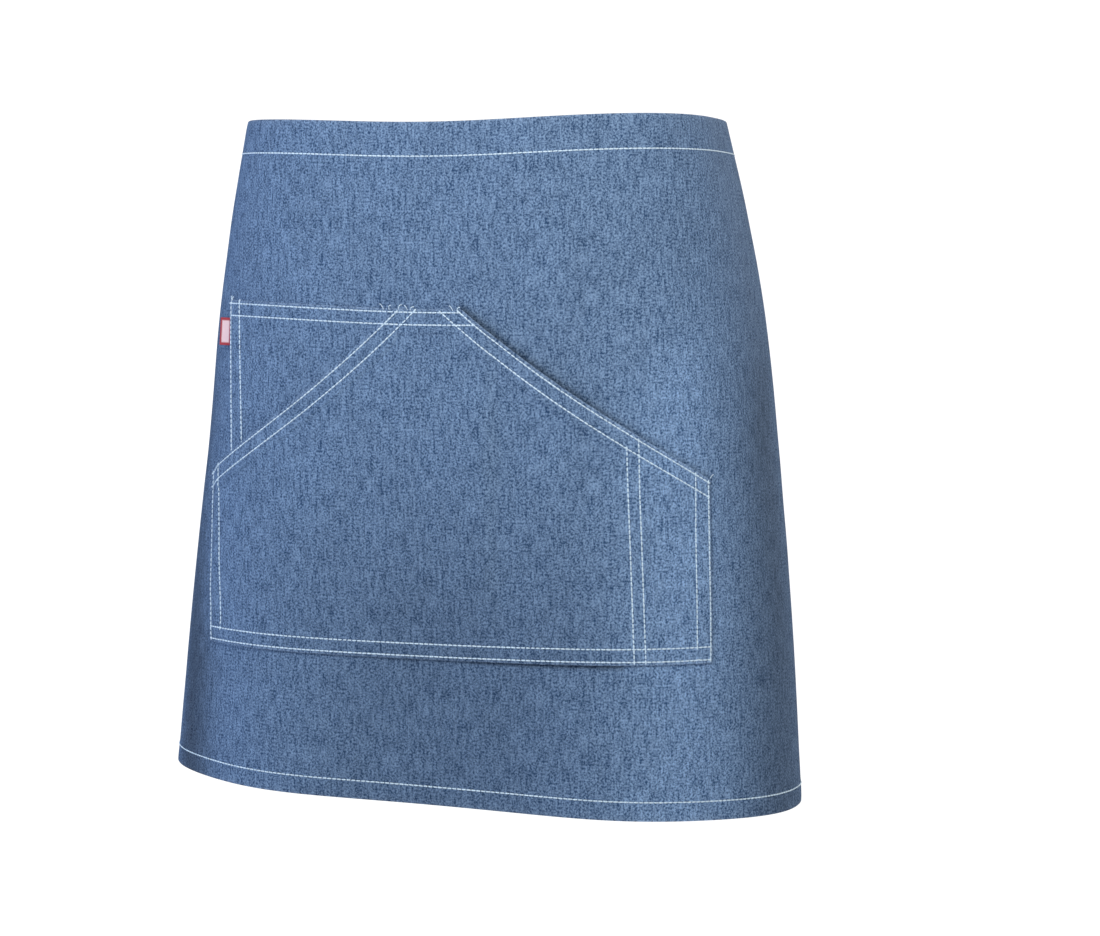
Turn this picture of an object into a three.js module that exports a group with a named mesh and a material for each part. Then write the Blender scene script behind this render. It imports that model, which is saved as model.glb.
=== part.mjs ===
import * as THREE from 'three';
import { RoundedBoxGeometry } from 'three/addons/geometries/RoundedBoxGeometry.js';
import { mergeVertices } from 'three/addons/utils/BufferGeometryUtils.js';

// A denim waist apron, in the form that it keeps when it is worn.
// Millimetres, +Z up. The wearer faces -Y, and the wearer's left is +X.
// The origin is the middle of the waist loop, halfway down the waist casing.
// A point of the cloth is given by across, its distance along the cloth from the centre front
// towards the wearer's left, by down, its distance below the top fold, and by out, its distance
// outwards from the cloth's inner face.

// Cloth
const CLOTH = 1.0;
const SEAT = 0.3;
const FOLD_SEAT = 0.5;
const TURN_RISE = 0.6;
const BAND_STEP = 1;

// Body that the apron goes round
const WAIST_BREADTH = 310;
const WAIST_DEPTH = 240;
const HEM_BREADTH = 427;

// Main panel
const LENGTH = 440;
const BACK_GAP = 200;
const WAIST_DIP = 6.5;
const DIP_SPREAD = 110;
const HEM_SLOPE = 9;

// Turned-in edges
const CASING_DEPTH = 23;
const HEM_DEPTH = 14;
const SIDE_DEPTH = 14;
const FOLD_LIP = 1;

// Both pockets start at one height. The front one is set on with a slight turn about the middle
// of its top edge.
const POCKET_BELOW_WAIST = 120;
const POCKET_TURN = THREE.MathUtils.degToRad(1.1);

// Front pocket
const POCKET_WIDTH = 362;
const POCKET_ABOVE_HEM = 94;
const POCKET_FLAT_TOP = 44;
const MOUTH_DROP = 110;
const MOUTH_BAND = 15;
const MOUTH_SAG_RIGHT = 8;
const MOUTH_SAG_LEFT = 4;
const MOUTH_GAPE = 1.8;
const GAPE_REACH = 45;

// Patch pocket under the front pocket, mostly on the wearer's right
const PATCH_WIDTH = 192;
const PATCH_HEIGHT = 148;
const PATCH_OFFSET = -64;
const PATCH_BAND = 13;
const PATCH_EASE = 14;
const PATCH_MARGIN = 8;
const PATCH_CUT_WIDTH = 15;
const PATCH_CUT_SLOPE = 0.8;

// Label in the patch's seam
const TAB_REACH = 11;
const TAB_HEIGHT = 18.5;
const TAB_BELOW_PATCH_TOP = 12;

// Ties
const TIE_WIDTH = 22;
const TIE_THICKNESS = 1.6;
const TIE_ROOT = 28;
const TAIL_LENGTH = 230;
const TAIL_NECK = 13;
const TAIL_NECK_LENGTH = 30;
const TAIL_SPLAY = 22;
const TAIL_CURVE = 1.4;
const KNOT_WIDTH = 30;
const KNOT_HEIGHT = 27;
const KNOT_THICKNESS = 9;
const KNOT_ROUND = 3.5;

// Mesh steps
const LOOP_STEPS = 480;
const COLUMN_STEP = 10.5;
const ROW_STEP = 36;
const POCKET_COLUMN_STEP = 9.5;
const POCKET_ROW_STEP = 22;
const NOSE_STEPS = 4;

// Sections of the worn form. down is a share of LENGTH, flare the share of the way from the
// waist's breadth to the hem's, depth a share of WAIST_DEPTH, forward the front line's place as
// a share of half of WAIST_DEPTH, and square the exponent of the section's rounded outline.
const SECTIONS = [
  { down: 0.0, flare: 0.0, depth: 1.0, forward: 1.01, square: 2.8 },
  { down: 0.14, flare: 0.24, depth: 1.05, forward: 1.01, square: 2.7 },
  { down: 0.3, flare: 0.45, depth: 1.09, forward: 1.02, square: 2.6 },
  { down: 0.5, flare: 0.62, depth: 1.1, forward: 1.03, square: 2.5 },
  { down: 0.75, flare: 0.84, depth: 1.06, forward: 1.06, square: 2.3 },
  { down: 1.0, flare: 1.0, depth: 1.02, forward: 1.1, square: 2.2 },
];

// Soft folds. across and spread are shares of HEM_BREADTH, rise is a share of WAIST_DEPTH, and
// the fold grows from nothing at the share from of LENGTH to its whole rise at the hem.
const FOLDS = [
  { across: -0.26, spread: 0.13, rise: 0.036, from: 0.3 },
  { across: 0.3, spread: 0.13, rise: 0.034, from: 0.25 },
  { across: 0.02, spread: 0.17, rise: -0.026, from: 0.4 },
];

// Colours
const DENIM = { color: 0x66809f, roughness: 0.95, metalness: 0 };
const RED_TAPE = { color: 0xb3242c, roughness: 0.8, metalness: 0 };

const ORIGIN_DOWN = CASING_DEPTH / 2;
const NOSE = CLOTH + FOLD_SEAT / 2;
const EDGE_INSET = NOSE + FOLD_LIP + SEAT;
const POCKET_HEIGHT = LENGTH - POCKET_BELOW_WAIST - POCKET_ABOVE_HEM;

const ease = (share) => {
  const t = THREE.MathUtils.clamp(share, 0, 1);
  return t * t * (3 - 2 * t);
};

// One column of the section table at a share of the length, as a smooth curve through its rows
function sectionValue(key, share) {
  const rows = SECTIONS;
  const at = THREE.MathUtils.clamp(share, 0, 1);
  const last = rows.length - 2;
  const i = Math.min(last, Math.max(0, rows.findIndex((row) => row.down > at) - 1));
  const k = at >= rows[last].down ? last : i;
  const slope = (j) => {
    const a = rows[Math.max(0, j - 1)];
    const b = rows[Math.min(rows.length - 1, j + 1)];
    return (b[key] - a[key]) / (b.down - a.down);
  };
  const span = rows[k + 1].down - rows[k].down;
  const t = (at - rows[k].down) / span;
  const hermite = [
    2 * t ** 3 - 3 * t ** 2 + 1,
    t ** 3 - 2 * t ** 2 + t,
    3 * t ** 2 - 2 * t ** 3,
    t ** 3 - t ** 2,
  ];
  return hermite[0] * rows[k][key] + hermite[1] * span * slope(k)
    + hermite[2] * rows[k + 1][key] + hermite[3] * span * slope(k + 1);
}

// Height of all folds above the smooth section
function foldRise(across, share) {
  return FOLDS.reduce((sum, fold) => {
    const growth = ease((share - fold.from) / (1 - fold.from));
    const away = (across - fold.across * HEM_BREADTH) / (fold.spread * HEM_BREADTH);
    return sum + fold.rise * WAIST_DEPTH * growth * Math.exp(-away * away);
  }, 0);
}

// Distances along a loop of plan points, measured from its middle point
function arcsOf(points) {
  const arcs = [0];
  for (let i = 1; i < points.length; i += 1) {
    arcs.push(arcs[i - 1] + points[i].distanceTo(points[i - 1]));
  }
  const middle = arcs[(points.length - 1) / 2];
  return arcs.map((arc) => arc - middle);
}

// Outward direction at a point of a loop that ends where it starts
function outwardAt(points, i) {
  const count = points.length - 1;
  const before = points[(i - 1 + count) % count];
  const after = points[(i + 1) % count];
  return new THREE.Vector2(after.y - before.y, before.x - after.x).normalize();
}

// Plan of the worn cloth's inner face at a share of the length, from centre back over the
// wearer's right, the front and the wearer's left to centre back again
const loops = new Map();
function loopAt(share) {
  const key = THREE.MathUtils.clamp(share, 0, 1).toFixed(6);
  if (loops.has(key)) {
    return loops.get(key);
  }
  const breadth = THREE.MathUtils.lerp(WAIST_BREADTH, HEM_BREADTH, sectionValue('flare', share));
  const halfDepth = (WAIST_DEPTH / 2) * sectionValue('depth', share);
  const front = (WAIST_DEPTH / 2) * sectionValue('forward', share);
  const square = sectionValue('square', share);
  const smooth = [];
  for (let i = 0; i <= LOOP_STEPS; i += 1) {
    const angle = ((2 * i) / LOOP_STEPS - 1) * Math.PI;
    const sideways = Math.abs(Math.sin(angle)) / (breadth / 2);
    const forwards = Math.abs(Math.cos(angle)) / halfDepth;
    const radius = (sideways ** square + forwards ** square) ** (-1 / square);
    smooth.push(new THREE.Vector2(
      radius * Math.sin(angle),
      halfDepth - front - radius * Math.cos(angle),
    ));
  }
  const smoothArcs = arcsOf(smooth);
  const points = smooth.map((point, i) => {
    const rise = foldRise(smoothArcs[i], share);
    return outwardAt(smooth, i).multiplyScalar(rise).add(point);
  });
  const arcs = arcsOf(points);
  const outward = points.map((point, i) => outwardAt(points, i));
  const loop = { points, arcs, outward };
  loops.set(key, loop);
  return loop;
}

const halfLoop = (share) => loopAt(share).arcs[LOOP_STEPS];

// Position in space of a point of the worn cloth
function place(across, down, out) {
  const share = THREE.MathUtils.clamp(down / LENGTH, 0, 1);
  const { points, arcs, outward } = loopAt(share);
  const found = arcs.findIndex((arc) => arc > across);
  const i = found < 1 ? (found === 0 ? 1 : LOOP_STEPS) : found;
  const t = (across - arcs[i - 1]) / (arcs[i] - arcs[i - 1]);
  const plan = points[i - 1].clone().lerp(points[i], t);
  plan.addScaledVector(outward[i - 1].clone().lerp(outward[i], t).normalize(), out);
  const dip = WAIST_DIP * (1 - share) * Math.exp(-((across / DIP_SPREAD) ** 2));
  const drop = HEM_SLOPE * share * (plan.x / (HEM_BREADTH / 2));
  return new THREE.Vector3(plan.x, plan.y, ORIGIN_DOWN - down - dip - drop);
}

// The same for a point whose down starts at the pockets' top edge
const placeOnPatch = (across, down, out) => place(across, POCKET_BELOW_WAIST + down, out);

// A point of the front pocket's own frame, turned into the patch's
function fromFrontPocket(across, down) {
  const [c, s] = [Math.cos(POCKET_TURN), Math.sin(POCKET_TURN)];
  return [across * c + down * s, down * c - across * s];
}

// Evenly spaced values, close to a step apart
function spaced(from, to, step) {
  const count = Math.max(1, Math.round(Math.abs(to - from) / step));
  return Array.from({ length: count + 1 }, (_, i) => from + ((to - from) * i) / count);
}

// Closed geometry of indexed triangles, with its faces turned outwards
function closedGeometry(points, triangles) {
  const volume = triangles.reduce((sum, [a, b, c]) => {
    const normal = new THREE.Vector3().crossVectors(points[b], points[c]);
    return sum + points[a].dot(normal);
  }, 0);
  const faces = volume < 0 ? triangles.map(([a, b, c]) => [a, c, b]) : triangles;
  const geometry = new THREE.BufferGeometry();
  const position = new Float32Array(points.flatMap((p) => [p.x, p.y, p.z]));
  geometry.setAttribute('position', new THREE.BufferAttribute(position, 3));
  geometry.setIndex(faces.flat());
  geometry.computeVertexNormals();
  return geometry;
}

// A wall over a grid of columns and rows. inner and outer give the point at (column, row).
function wallGeometry(columns, rows, inner, outer) {
  const points = [];
  const index = (side, i, j) => (side * columns.length + i) * rows.length + j;
  [inner, outer].forEach((face) => {
    columns.forEach((column) => rows.forEach((row) => points.push(face(column, row))));
  });
  const triangles = [];
  const quad = (a, b, c, d) => triangles.push([a, b, c], [a, c, d]);
  const [lastColumn, lastRow] = [columns.length - 1, rows.length - 1];
  for (let i = 0; i < lastColumn; i += 1) {
    for (let j = 0; j < lastRow; j += 1) {
      quad(index(1, i, j), index(1, i, j + 1), index(1, i + 1, j + 1), index(1, i + 1, j));
      quad(index(0, i, j), index(0, i + 1, j), index(0, i + 1, j + 1), index(0, i, j + 1));
    }
    quad(index(0, i, 0), index(1, i, 0), index(1, i + 1, 0), index(0, i + 1, 0));
    quad(index(1, i, lastRow), index(0, i, lastRow), index(0, i + 1, lastRow), index(1, i + 1, lastRow));
  }
  for (let j = 0; j < lastRow; j += 1) {
    quad(index(1, 0, j), index(0, 0, j), index(0, 0, j + 1), index(1, 0, j + 1));
    quad(index(0, lastColumn, j), index(1, lastColumn, j), index(1, lastColumn, j + 1),
      index(0, lastColumn, j + 1));
  }
  return closedGeometry(points, triangles);
}

// A closed section carried along stations. at gives the point for a station and a section point.
// slant picks the diagonals, so that they lie along those of the wall that the section closes.
function sweptGeometry(section, stations, slant, at) {
  const count = section.length;
  const points = stations.flatMap((station) => section.map((corner) => at(station, corner)));
  const triangles = [];
  for (let i = 0; i < stations.length - 1; i += 1) {
    for (let j = 0; j < count; j += 1) {
      const next = (j + 1) % count;
      const [a, b] = [i * count + j, i * count + next];
      if ((section[next].x - section[j].x) * slant >= 0) {
        triangles.push([a, b, b + count], [a, b + count, a + count]);
      } else {
        triangles.push([a, b, a + count], [b, b + count, a + count]);
      }
    }
  }
  const far = (stations.length - 1) * count;
  const whole = THREE.ShapeUtils.area(section);
  THREE.ShapeUtils.triangulateShape(section, []).forEach(([a, b, c]) => {
    const inOrder = THREE.ShapeUtils.area([section[a], section[b], section[c]]) * whole > 0;
    const [second, third] = inOrder ? [b, c] : [c, b];
    triangles.push([a, third, second], [a + far, second + far, third + far]);
  });
  return closedGeometry(points, triangles);
}

function piece(name, geometry, look) {
  const mesh = new THREE.Mesh(geometry, new THREE.MeshStandardMaterial(look));
  mesh.name = name;
  return mesh;
}

const panelHalf = halfLoop(0) - BACK_GAP / 2;
const panelColumns = spaced(-1, 1, COLUMN_STEP / panelHalf);
const sideRows = spaced(CASING_DEPTH + SEAT, LENGTH - HEM_DEPTH - SEAT, ROW_STEP);

// Main panel. Its edges stop short of the turned-in folds, which close them.
function apronPanel() {
  const rows = [EDGE_INSET, CASING_DEPTH, ...sideRows, LENGTH - HEM_DEPTH, LENGTH - EDGE_INSET];
  const half = (down) => (sideRows.includes(down) ? panelHalf - EDGE_INSET : panelHalf);
  const face = (out) => (column, row) => place(column * half(row), row, out);
  return piece('apron_panel', wallGeometry(panelColumns, rows, face(0), face(CLOTH)), DENIM);
}

// Section of a turned-in edge. x is the distance from the fold into the cloth, y is out.
function turningSection(depth) {
  const inner = -(FOLD_SEAT + CLOTH);
  const middle = (CLOTH + inner) / 2;
  const section = [new THREE.Vector2(NOSE + FOLD_LIP, CLOTH)];
  for (let i = 0; i <= NOSE_STEPS; i += 1) {
    const angle = (Math.PI * i) / NOSE_STEPS;
    const inset = NOSE - NOSE * Math.sin(angle);
    section.push(new THREE.Vector2(inset, middle + NOSE * Math.cos(angle)));
  }
  section.push(new THREE.Vector2(depth, inner));
  section.push(new THREE.Vector2(depth, -FOLD_SEAT));
  section.push(new THREE.Vector2(NOSE + FOLD_LIP, -FOLD_SEAT));
  return section;
}

function waistCasing() {
  const stations = panelColumns.map((column) => column * panelHalf);
  const at = (across, corner) => place(across, corner.x, corner.y);
  return piece('waist_casing', sweptGeometry(turningSection(CASING_DEPTH), stations, 1, at), DENIM);
}

function hemTurn() {
  const stations = panelColumns.map((column) => column * panelHalf);
  const at = (across, corner) => place(across, LENGTH - corner.x, corner.y);
  return piece('hem_turn', sweptGeometry(turningSection(HEM_DEPTH), stations, -1, at), DENIM);
}

function sideTurn(name, side) {
  const stations = [sideRows[0] + SEAT, ...sideRows.slice(1, -1), sideRows.at(-1) - SEAT];
  const at = (down, corner) => place(side * (panelHalf - corner.x), down, corner.y);
  return piece(name, sweptGeometry(turningSection(SIDE_DEPTH), stations, -side, at), DENIM);
}

// Patch pocket: its top hem is turned, so it is thicker there. Its far top corner slants down, so
// that it stays covered by the front pocket.
const patchLeft = PATCH_OFFSET - PATCH_WIDTH / 2;
const patchRight = PATCH_OFFSET + PATCH_WIDTH / 2;

function upperPocket() {
  const cutStart = patchRight - PATCH_CUT_WIDTH;
  const columns = [
    ...spaced(patchLeft, cutStart, POCKET_COLUMN_STEP),
    ...spaced(cutStart, patchRight, POCKET_COLUMN_STEP).slice(1),
  ];
  const rows = [0, PATCH_BAND, ...spaced(PATCH_BAND + BAND_STEP, PATCH_HEIGHT, POCKET_ROW_STEP)];
  const downOf = (column, row) => {
    const cut = Math.max(0, column - cutStart) * PATCH_CUT_SLOPE;
    return row + cut * (1 - row / PATCH_HEIGHT);
  };
  const inner = (column, row) => placeOnPatch(column, downOf(column, row), CLOTH + SEAT);
  const outer = (column, row) => {
    const rise = row <= PATCH_BAND ? TURN_RISE : 0;
    return placeOnPatch(column, downOf(column, row), 2 * CLOTH + SEAT + rise);
  };
  return piece('upper_pocket', wallGeometry(columns, rows, inner, outer), DENIM);
}

// Front pocket: how far the mouth lies below the flat top
function mouthDown(across) {
  const reach = (Math.abs(across) - POCKET_FLAT_TOP / 2) / ((POCKET_WIDTH - POCKET_FLAT_TOP) / 2);
  const t = THREE.MathUtils.clamp(reach, 0, 1);
  const sag = across < 0 ? MOUTH_SAG_RIGHT : MOUTH_SAG_LEFT;
  return MOUTH_DROP * t + sag * 4 * t * (1 - t);
}

// How much the front pocket stands out where it lies over the patch
function liftOverPatch(across, down) {
  const beside = Math.max(patchLeft - across, across - patchRight, down - PATCH_HEIGHT, 0);
  const full = CLOTH + SEAT + TURN_RISE;
  return full * (1 - ease((beside - PATCH_MARGIN) / PATCH_EASE));
}

// How much the mouth stands open, most at the middle of each slanted edge
function gapeAt(across, down) {
  const reach = (Math.abs(across) - POCKET_FLAT_TOP / 2) / ((POCKET_WIDTH - POCKET_FLAT_TOP) / 2);
  const t = THREE.MathUtils.clamp(reach, 0, 1);
  const below = down - mouthDown(across);
  return MOUTH_GAPE * 4 * t * (1 - t) * (1 - ease(below / GAPE_REACH));
}

function frontPocket() {
  const half = POCKET_WIDTH / 2;
  const flat = POCKET_FLAT_TOP / 2;
  const columns = [
    ...spaced(-half, -flat, POCKET_COLUMN_STEP),
    ...spaced(-flat, flat, POCKET_COLUMN_STEP).slice(1, -1),
    ...spaced(flat, half, POCKET_COLUMN_STEP),
  ];
  const rows = [
    { below: 0, share: 0, rise: TURN_RISE },
    { below: MOUTH_BAND, share: 0, rise: TURN_RISE },
    { below: MOUTH_BAND + BAND_STEP, share: 0, rise: 0 },
    ...spaced(0, 1, POCKET_ROW_STEP / POCKET_HEIGHT).slice(1)
      .map((share) => ({ below: MOUTH_BAND + BAND_STEP, share, rise: 0 })),
  ];
  const downOf = (column, row) => {
    const start = mouthDown(column) + row.below;
    return start + (POCKET_HEIGHT - start) * row.share;
  };
  const face = (base, turned) => (column, row) => {
    const down = downOf(column, row);
    const onPatch = fromFrontPocket(column, down);
    const out = base + liftOverPatch(...onPatch) + gapeAt(column, down) + turned * row.rise;
    return placeOnPatch(...onPatch, out);
  };
  const inner = face(CLOTH + SEAT, 0);
  const outer = face(2 * CLOTH + SEAT, 1);
  return piece('front_pocket', wallGeometry(columns, rows, inner, outer), DENIM);
}

function labelTab() {
  const edge = patchLeft - SEAT;
  const columns = spaced(edge - TAB_REACH, edge, TAB_REACH / 2);
  const rows = spaced(TAB_BELOW_PATCH_TOP, TAB_BELOW_PATCH_TOP + TAB_HEIGHT, TAB_HEIGHT / 2);
  const face = (out) => (column, row) => placeOnPatch(column, row, out);
  const geometry = wallGeometry(columns, rows, face(CLOTH + SEAT), face(2 * CLOTH + SEAT));
  return piece('label_tab', geometry, RED_TAPE);
}

// Ties: each is sewn on over the casing's end and runs round to the knot at the centre back
const tieOut = CLOTH + SEAT;

function tie(name, side) {
  const start = panelHalf - TIE_ROOT;
  const end = (row) => halfLoop(row / LENGTH) - KNOT_WIDTH / 2 - SEAT;
  const columns = spaced(0, 1, COLUMN_STEP / (end(0) - start));
  const top = (CASING_DEPTH - TIE_WIDTH) / 2;
  const rows = [top, top + TIE_WIDTH];
  const across = (column, row) => start + (end(row) - start) * column;
  const face = (out) => (column, row) => place(side * across(column, row), row, out);
  return piece(name, wallGeometry(columns, rows, face(tieOut), face(tieOut + TIE_THICKNESS)), DENIM);
}

const knotDown = CASING_DEPTH / 2;
const knotCentre = place(halfLoop(knotDown / LENGTH), knotDown, tieOut + TIE_THICKNESS / 2);

function tieKnot() {
  const rounded = new RoundedBoxGeometry(KNOT_WIDTH, KNOT_THICKNESS, KNOT_HEIGHT, 2, KNOT_ROUND);
  rounded.deleteAttribute('normal');
  rounded.deleteAttribute('uv');
  const geometry = mergeVertices(rounded, 1e-4);
  geometry.computeVertexNormals();
  const knot = piece('tie_knot', geometry, DENIM);
  knot.position.copy(knotCentre);
  return knot;
}

// Hanging tie ends, narrow where they leave the knot
function tieTail(name, side) {
  const topZ = knotCentre.z - KNOT_HEIGHT / 2 - SEAT;
  const rows = spaced(0, TAIL_LENGTH, POCKET_ROW_STEP / 2);
  const face = (y) => (column, row) => {
    const width = THREE.MathUtils.lerp(TAIL_NECK, TIE_WIDTH, ease(row / TAIL_NECK_LENGTH));
    const lean = SEAT + TAIL_SPLAY * (row / TAIL_LENGTH) ** TAIL_CURVE;
    return new THREE.Vector3(side * (lean + column * width), y, topZ - row);
  };
  const y = knotCentre.y - TIE_THICKNESS / 2;
  return piece(name, wallGeometry([0, 0.5, 1], rows, face(y), face(y + TIE_THICKNESS)), DENIM);
}

const apron = new THREE.Group();
apron.add(
  apronPanel(),
  waistCasing(),
  hemTurn(),
  sideTurn('side_turn_left', 1),
  sideTurn('side_turn_right', -1),
  upperPocket(),
  frontPocket(),
  labelTab(),
  tie('tie_left', 1),
  tie('tie_right', -1),
  tieKnot(),
  tieTail('tie_tail_left', 1),
  tieTail('tie_tail_right', -1),
);

export default apron;
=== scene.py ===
"""A denim waist apron in its worn form.

The cloth is laid out flat in its own coordinates, in metres: across runs along the cloth from the
centre front towards the wearer's left, down runs from the top fold towards the hem, and out runs
outwards from the cloth's inner face. WornForm turns such a point into a place in space.
The wearer faces -Y, and +X is the wearer's left.
"""

import logging
import math
from dataclasses import dataclass, field
from enum import Enum
from typing import Callable, Sequence

import bmesh
import bpy
import numpy as np
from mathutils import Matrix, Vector


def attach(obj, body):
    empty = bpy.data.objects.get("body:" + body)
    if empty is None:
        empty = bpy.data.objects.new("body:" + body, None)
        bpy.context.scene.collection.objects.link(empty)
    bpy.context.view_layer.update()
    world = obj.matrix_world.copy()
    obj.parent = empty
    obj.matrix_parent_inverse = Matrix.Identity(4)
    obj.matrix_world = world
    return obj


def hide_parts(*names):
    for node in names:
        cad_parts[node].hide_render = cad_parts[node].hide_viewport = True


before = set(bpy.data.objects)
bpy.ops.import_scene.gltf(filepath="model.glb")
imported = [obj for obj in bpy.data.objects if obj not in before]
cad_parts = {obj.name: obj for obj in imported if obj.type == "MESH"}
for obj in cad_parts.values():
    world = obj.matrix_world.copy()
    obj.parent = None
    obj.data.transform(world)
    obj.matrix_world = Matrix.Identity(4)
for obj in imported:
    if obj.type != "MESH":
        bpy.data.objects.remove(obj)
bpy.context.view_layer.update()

log = logging.getLogger("apron")
Array = np.ndarray
PointField = Callable[[Array, Array], Array]
Colour = tuple[float, float, float]
Piece = bpy.types.Object
Material = bpy.types.Material
Tree = bpy.types.NodeTree
Node = bpy.types.Node
Socket = bpy.types.NodeSocket

BODY = "root"
MM = 0.001

# Cloth
CLOTH = 1.0 * MM
SEAT = 0.3 * MM
FOLD_SEAT = 0.5 * MM
TURN_RISE = 0.6 * MM
FOLD_NOSE = CLOTH + FOLD_SEAT / 2
POCKET_SEAT = CLOTH + 0.1 * MM
EDGE_RADIUS = 0.8 * MM
RUBBED_REACH = 1.2 * MM
STITCH_LIFT = 0.12 * MM
CROSSING_DEPTH = 0.12 * MM

# Main panel
LENGTH = 440 * MM
BACK_GAP = 200 * MM
CASING_DEPTH = 23 * MM
HEM_DEPTH = 14 * MM
SIDE_DEPTH = 14 * MM
WAIST_ROW = 22.2 * MM
HEM_ROW = 12 * MM

# Pockets
POCKET_BELOW_WAIST = 120 * MM
POCKET_TURN = math.radians(1.1)
ROW_INSET = 2.3 * MM
ROW_GAP = 8 * MM


class Side(Enum):
    """A side of the wearer, with its sign along +X."""

    RIGHT = -1
    LEFT = 1


def ease(share: Array) -> Array:
    """Returns a smooth step from 0 to 1 as share goes from 0 to 1."""
    t = np.clip(share, 0, 1)
    return t * t * (3 - 2 * t)


def fold_height(inside: Array, radius: float) -> Array:
    """Returns the half thickness of a rounded fold.

    Args:
        inside: Distance from the fold's tip into the cloth.
        radius: Radius of the fold, which is the half thickness beyond it.
    """
    t = np.clip(1 - inside / radius, 0, 1)
    return radius * np.sqrt(1 - t * t)


def soft_noise(x: Array, y: Array, seed: int) -> Array:
    """Returns smooth value noise from -1 to 1, with a feature size of one unit.

    Args:
        x: First coordinate, in features.
        y: Second coordinate, in features.
        seed: Seed of the lattice's values.
    """
    size = 96
    lattice = np.random.default_rng(seed).uniform(-1, 1, (size, size))
    x, y = np.broadcast_arrays(np.asarray(x, float), np.asarray(y, float))
    column, row = np.floor(x).astype(int), np.floor(y).astype(int)
    s, t = ease(x - column), ease(y - row)
    value = 0.0
    for i, share_i in ((0, 1 - s), (1, s)):
        for j, share_j in ((0, 1 - t), (1, t)):
            value = value + share_i * share_j * lattice[(column + i) % size, (row + j) % size]
    return value


@dataclass(frozen=True)
class Ripple:
    """Soft waves of a cloth face.

    Attributes:
        height: Height of the waves.
        across: Their size along the first cloth coordinate.
        down: Their size along the second cloth coordinate.
        seed: Seed of the waves.
        shift: Where they start, in waves.
    """

    height: float
    across: float
    down: float
    seed: int
    shift: tuple[float, float] = (0.0, 0.0)

    def at(self, u: Array, v: Array) -> Array:
        """Returns the waves' height at cloth places."""
        x, y = u / self.across + self.shift[0], v / self.down + self.shift[1]
        return self.height * soft_noise(x, y, self.seed)


def round_edge(inset: Array, radius: float = EDGE_RADIUS) -> Array:
    """Returns a rounded edge's share of its full thickness, from the distance to the edge."""
    return fold_height(inset, radius) / radius


def edge_wear(inset: Array, amount: float) -> Array:
    """Returns how rubbed the cloth is at a distance from its folded edge."""
    return amount * np.exp(-inset / RUBBED_REACH)


@dataclass(frozen=True)
class PaintedLightBand:
    """A soft upright band of painted light: a painted highlight where its amount is above 0, painted shade
    where it is below.

    Attributes:
        across: Distance of its middle from the centre front.
        spread: Half its breadth.
        amount: Change of the cloth's colour there, as a share.
        start: Distance below the top fold where it begins.
        reach: Distance over which it grows to its full strength.
    """

    across: float
    spread: float
    amount: float
    start: float = -1 * MM
    reach: float = 1 * MM


# Painted light and shade: a painted highlight along the fold over the wearer's left hip, and painted shade
# beyond that fold, low at the front, down the wearer's right side and by the front pocket's corner on the
# wearer's right.
PAINTED_LIGHT_BANDS = (
    PaintedLightBand(160 * MM, 38 * MM, 0.39, 90 * MM, 110 * MM),
    PaintedLightBand(250 * MM, 34 * MM, -0.36, 90 * MM, 110 * MM),
    PaintedLightBand(10 * MM, 110 * MM, -0.25, 190 * MM, 150 * MM),
    PaintedLightBand(-206 * MM, 25 * MM, -0.12),
    PaintedLightBand(-206 * MM, 25 * MM, -0.22, 90 * MM, 110 * MM),
    PaintedLightBand(-206 * MM, 25 * MM, -0.2, 230 * MM, 120 * MM),
    PaintedLightBand(-181 * MM, 20 * MM, -0.24, 322 * MM, 45 * MM),
)


def painted_light_and_shade(across: Array, down: Array) -> Array:
    """Returns the painted light and shade on the cloth: how much paler or deeper it is painted, as a share
    of its colour.

    It is painted pale along the fold over the wearer's left hip, as a highlight. It is painted deep, as
    shade, in the hollow behind that fold, towards the right hip, and low at the front.

    Args:
        across: Distance along the cloth from the centre front.
        down: Distance below the top fold.
    """
    return sum(
        band.amount
        * ease((down - band.start) / band.reach)
        * np.exp(-(((across - band.across) / band.spread) ** 2))
        for band in PAINTED_LIGHT_BANDS
    )


def stations(length: float, step: float, marks: Sequence[float] = ()) -> Array:
    """Returns places along a side of a cloth piece, from 0 to length.

    They are close together at the two folded edges and at each mark, and a step apart elsewhere.

    Args:
        length: Length of the side.
        step: Distance between plain stations.
        marks: Places that need close stations, such as stitch rows and the ends of turnings.
    """
    edge = np.array([0, 0.06, 0.25, 0.55, 0.95, 1.4]) * MM
    near = np.array([-0.9, -0.45, 0, 0.45, 0.9]) * MM
    fixed = np.concatenate([edge, length - edge, *[mark + near for mark in marks]])
    plain = np.linspace(0, length, max(2, round(length / step)) + 1)
    clear = np.abs(plain[:, None] - fixed[None, :]).min(axis=1) > 0.45 * step
    return np.unique(np.round(np.concatenate([fixed, plain[clear]]), 7))


@dataclass(frozen=True)
class Section:
    """A level section of the worn form, as shares of the driving sizes."""

    down: float
    flare: float
    depth: float
    forward: float
    square: float


@dataclass(frozen=True)
class Fold:
    """A soft fold that grows towards the hem, as shares of the hem's breadth and waist's depth."""

    across: float
    spread: float
    rise: float
    start: float


SECTIONS = (
    Section(down=0.0, flare=0.0, depth=1.0, forward=1.01, square=2.8),
    Section(down=0.14, flare=0.24, depth=1.05, forward=1.01, square=2.7),
    Section(down=0.3, flare=0.45, depth=1.09, forward=1.02, square=2.6),
    Section(down=0.5, flare=0.62, depth=1.1, forward=1.03, square=2.5),
    Section(down=0.75, flare=0.84, depth=1.06, forward=1.06, square=2.3),
    Section(down=1.0, flare=1.0, depth=1.02, forward=1.1, square=2.2),
)
FOLDS = (
    Fold(across=-0.26, spread=0.13, rise=0.036, start=0.3),
    Fold(across=0.3, spread=0.13, rise=0.034, start=0.25),
    Fold(across=0.02, spread=0.17, rise=-0.026, start=0.4),
)


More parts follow.
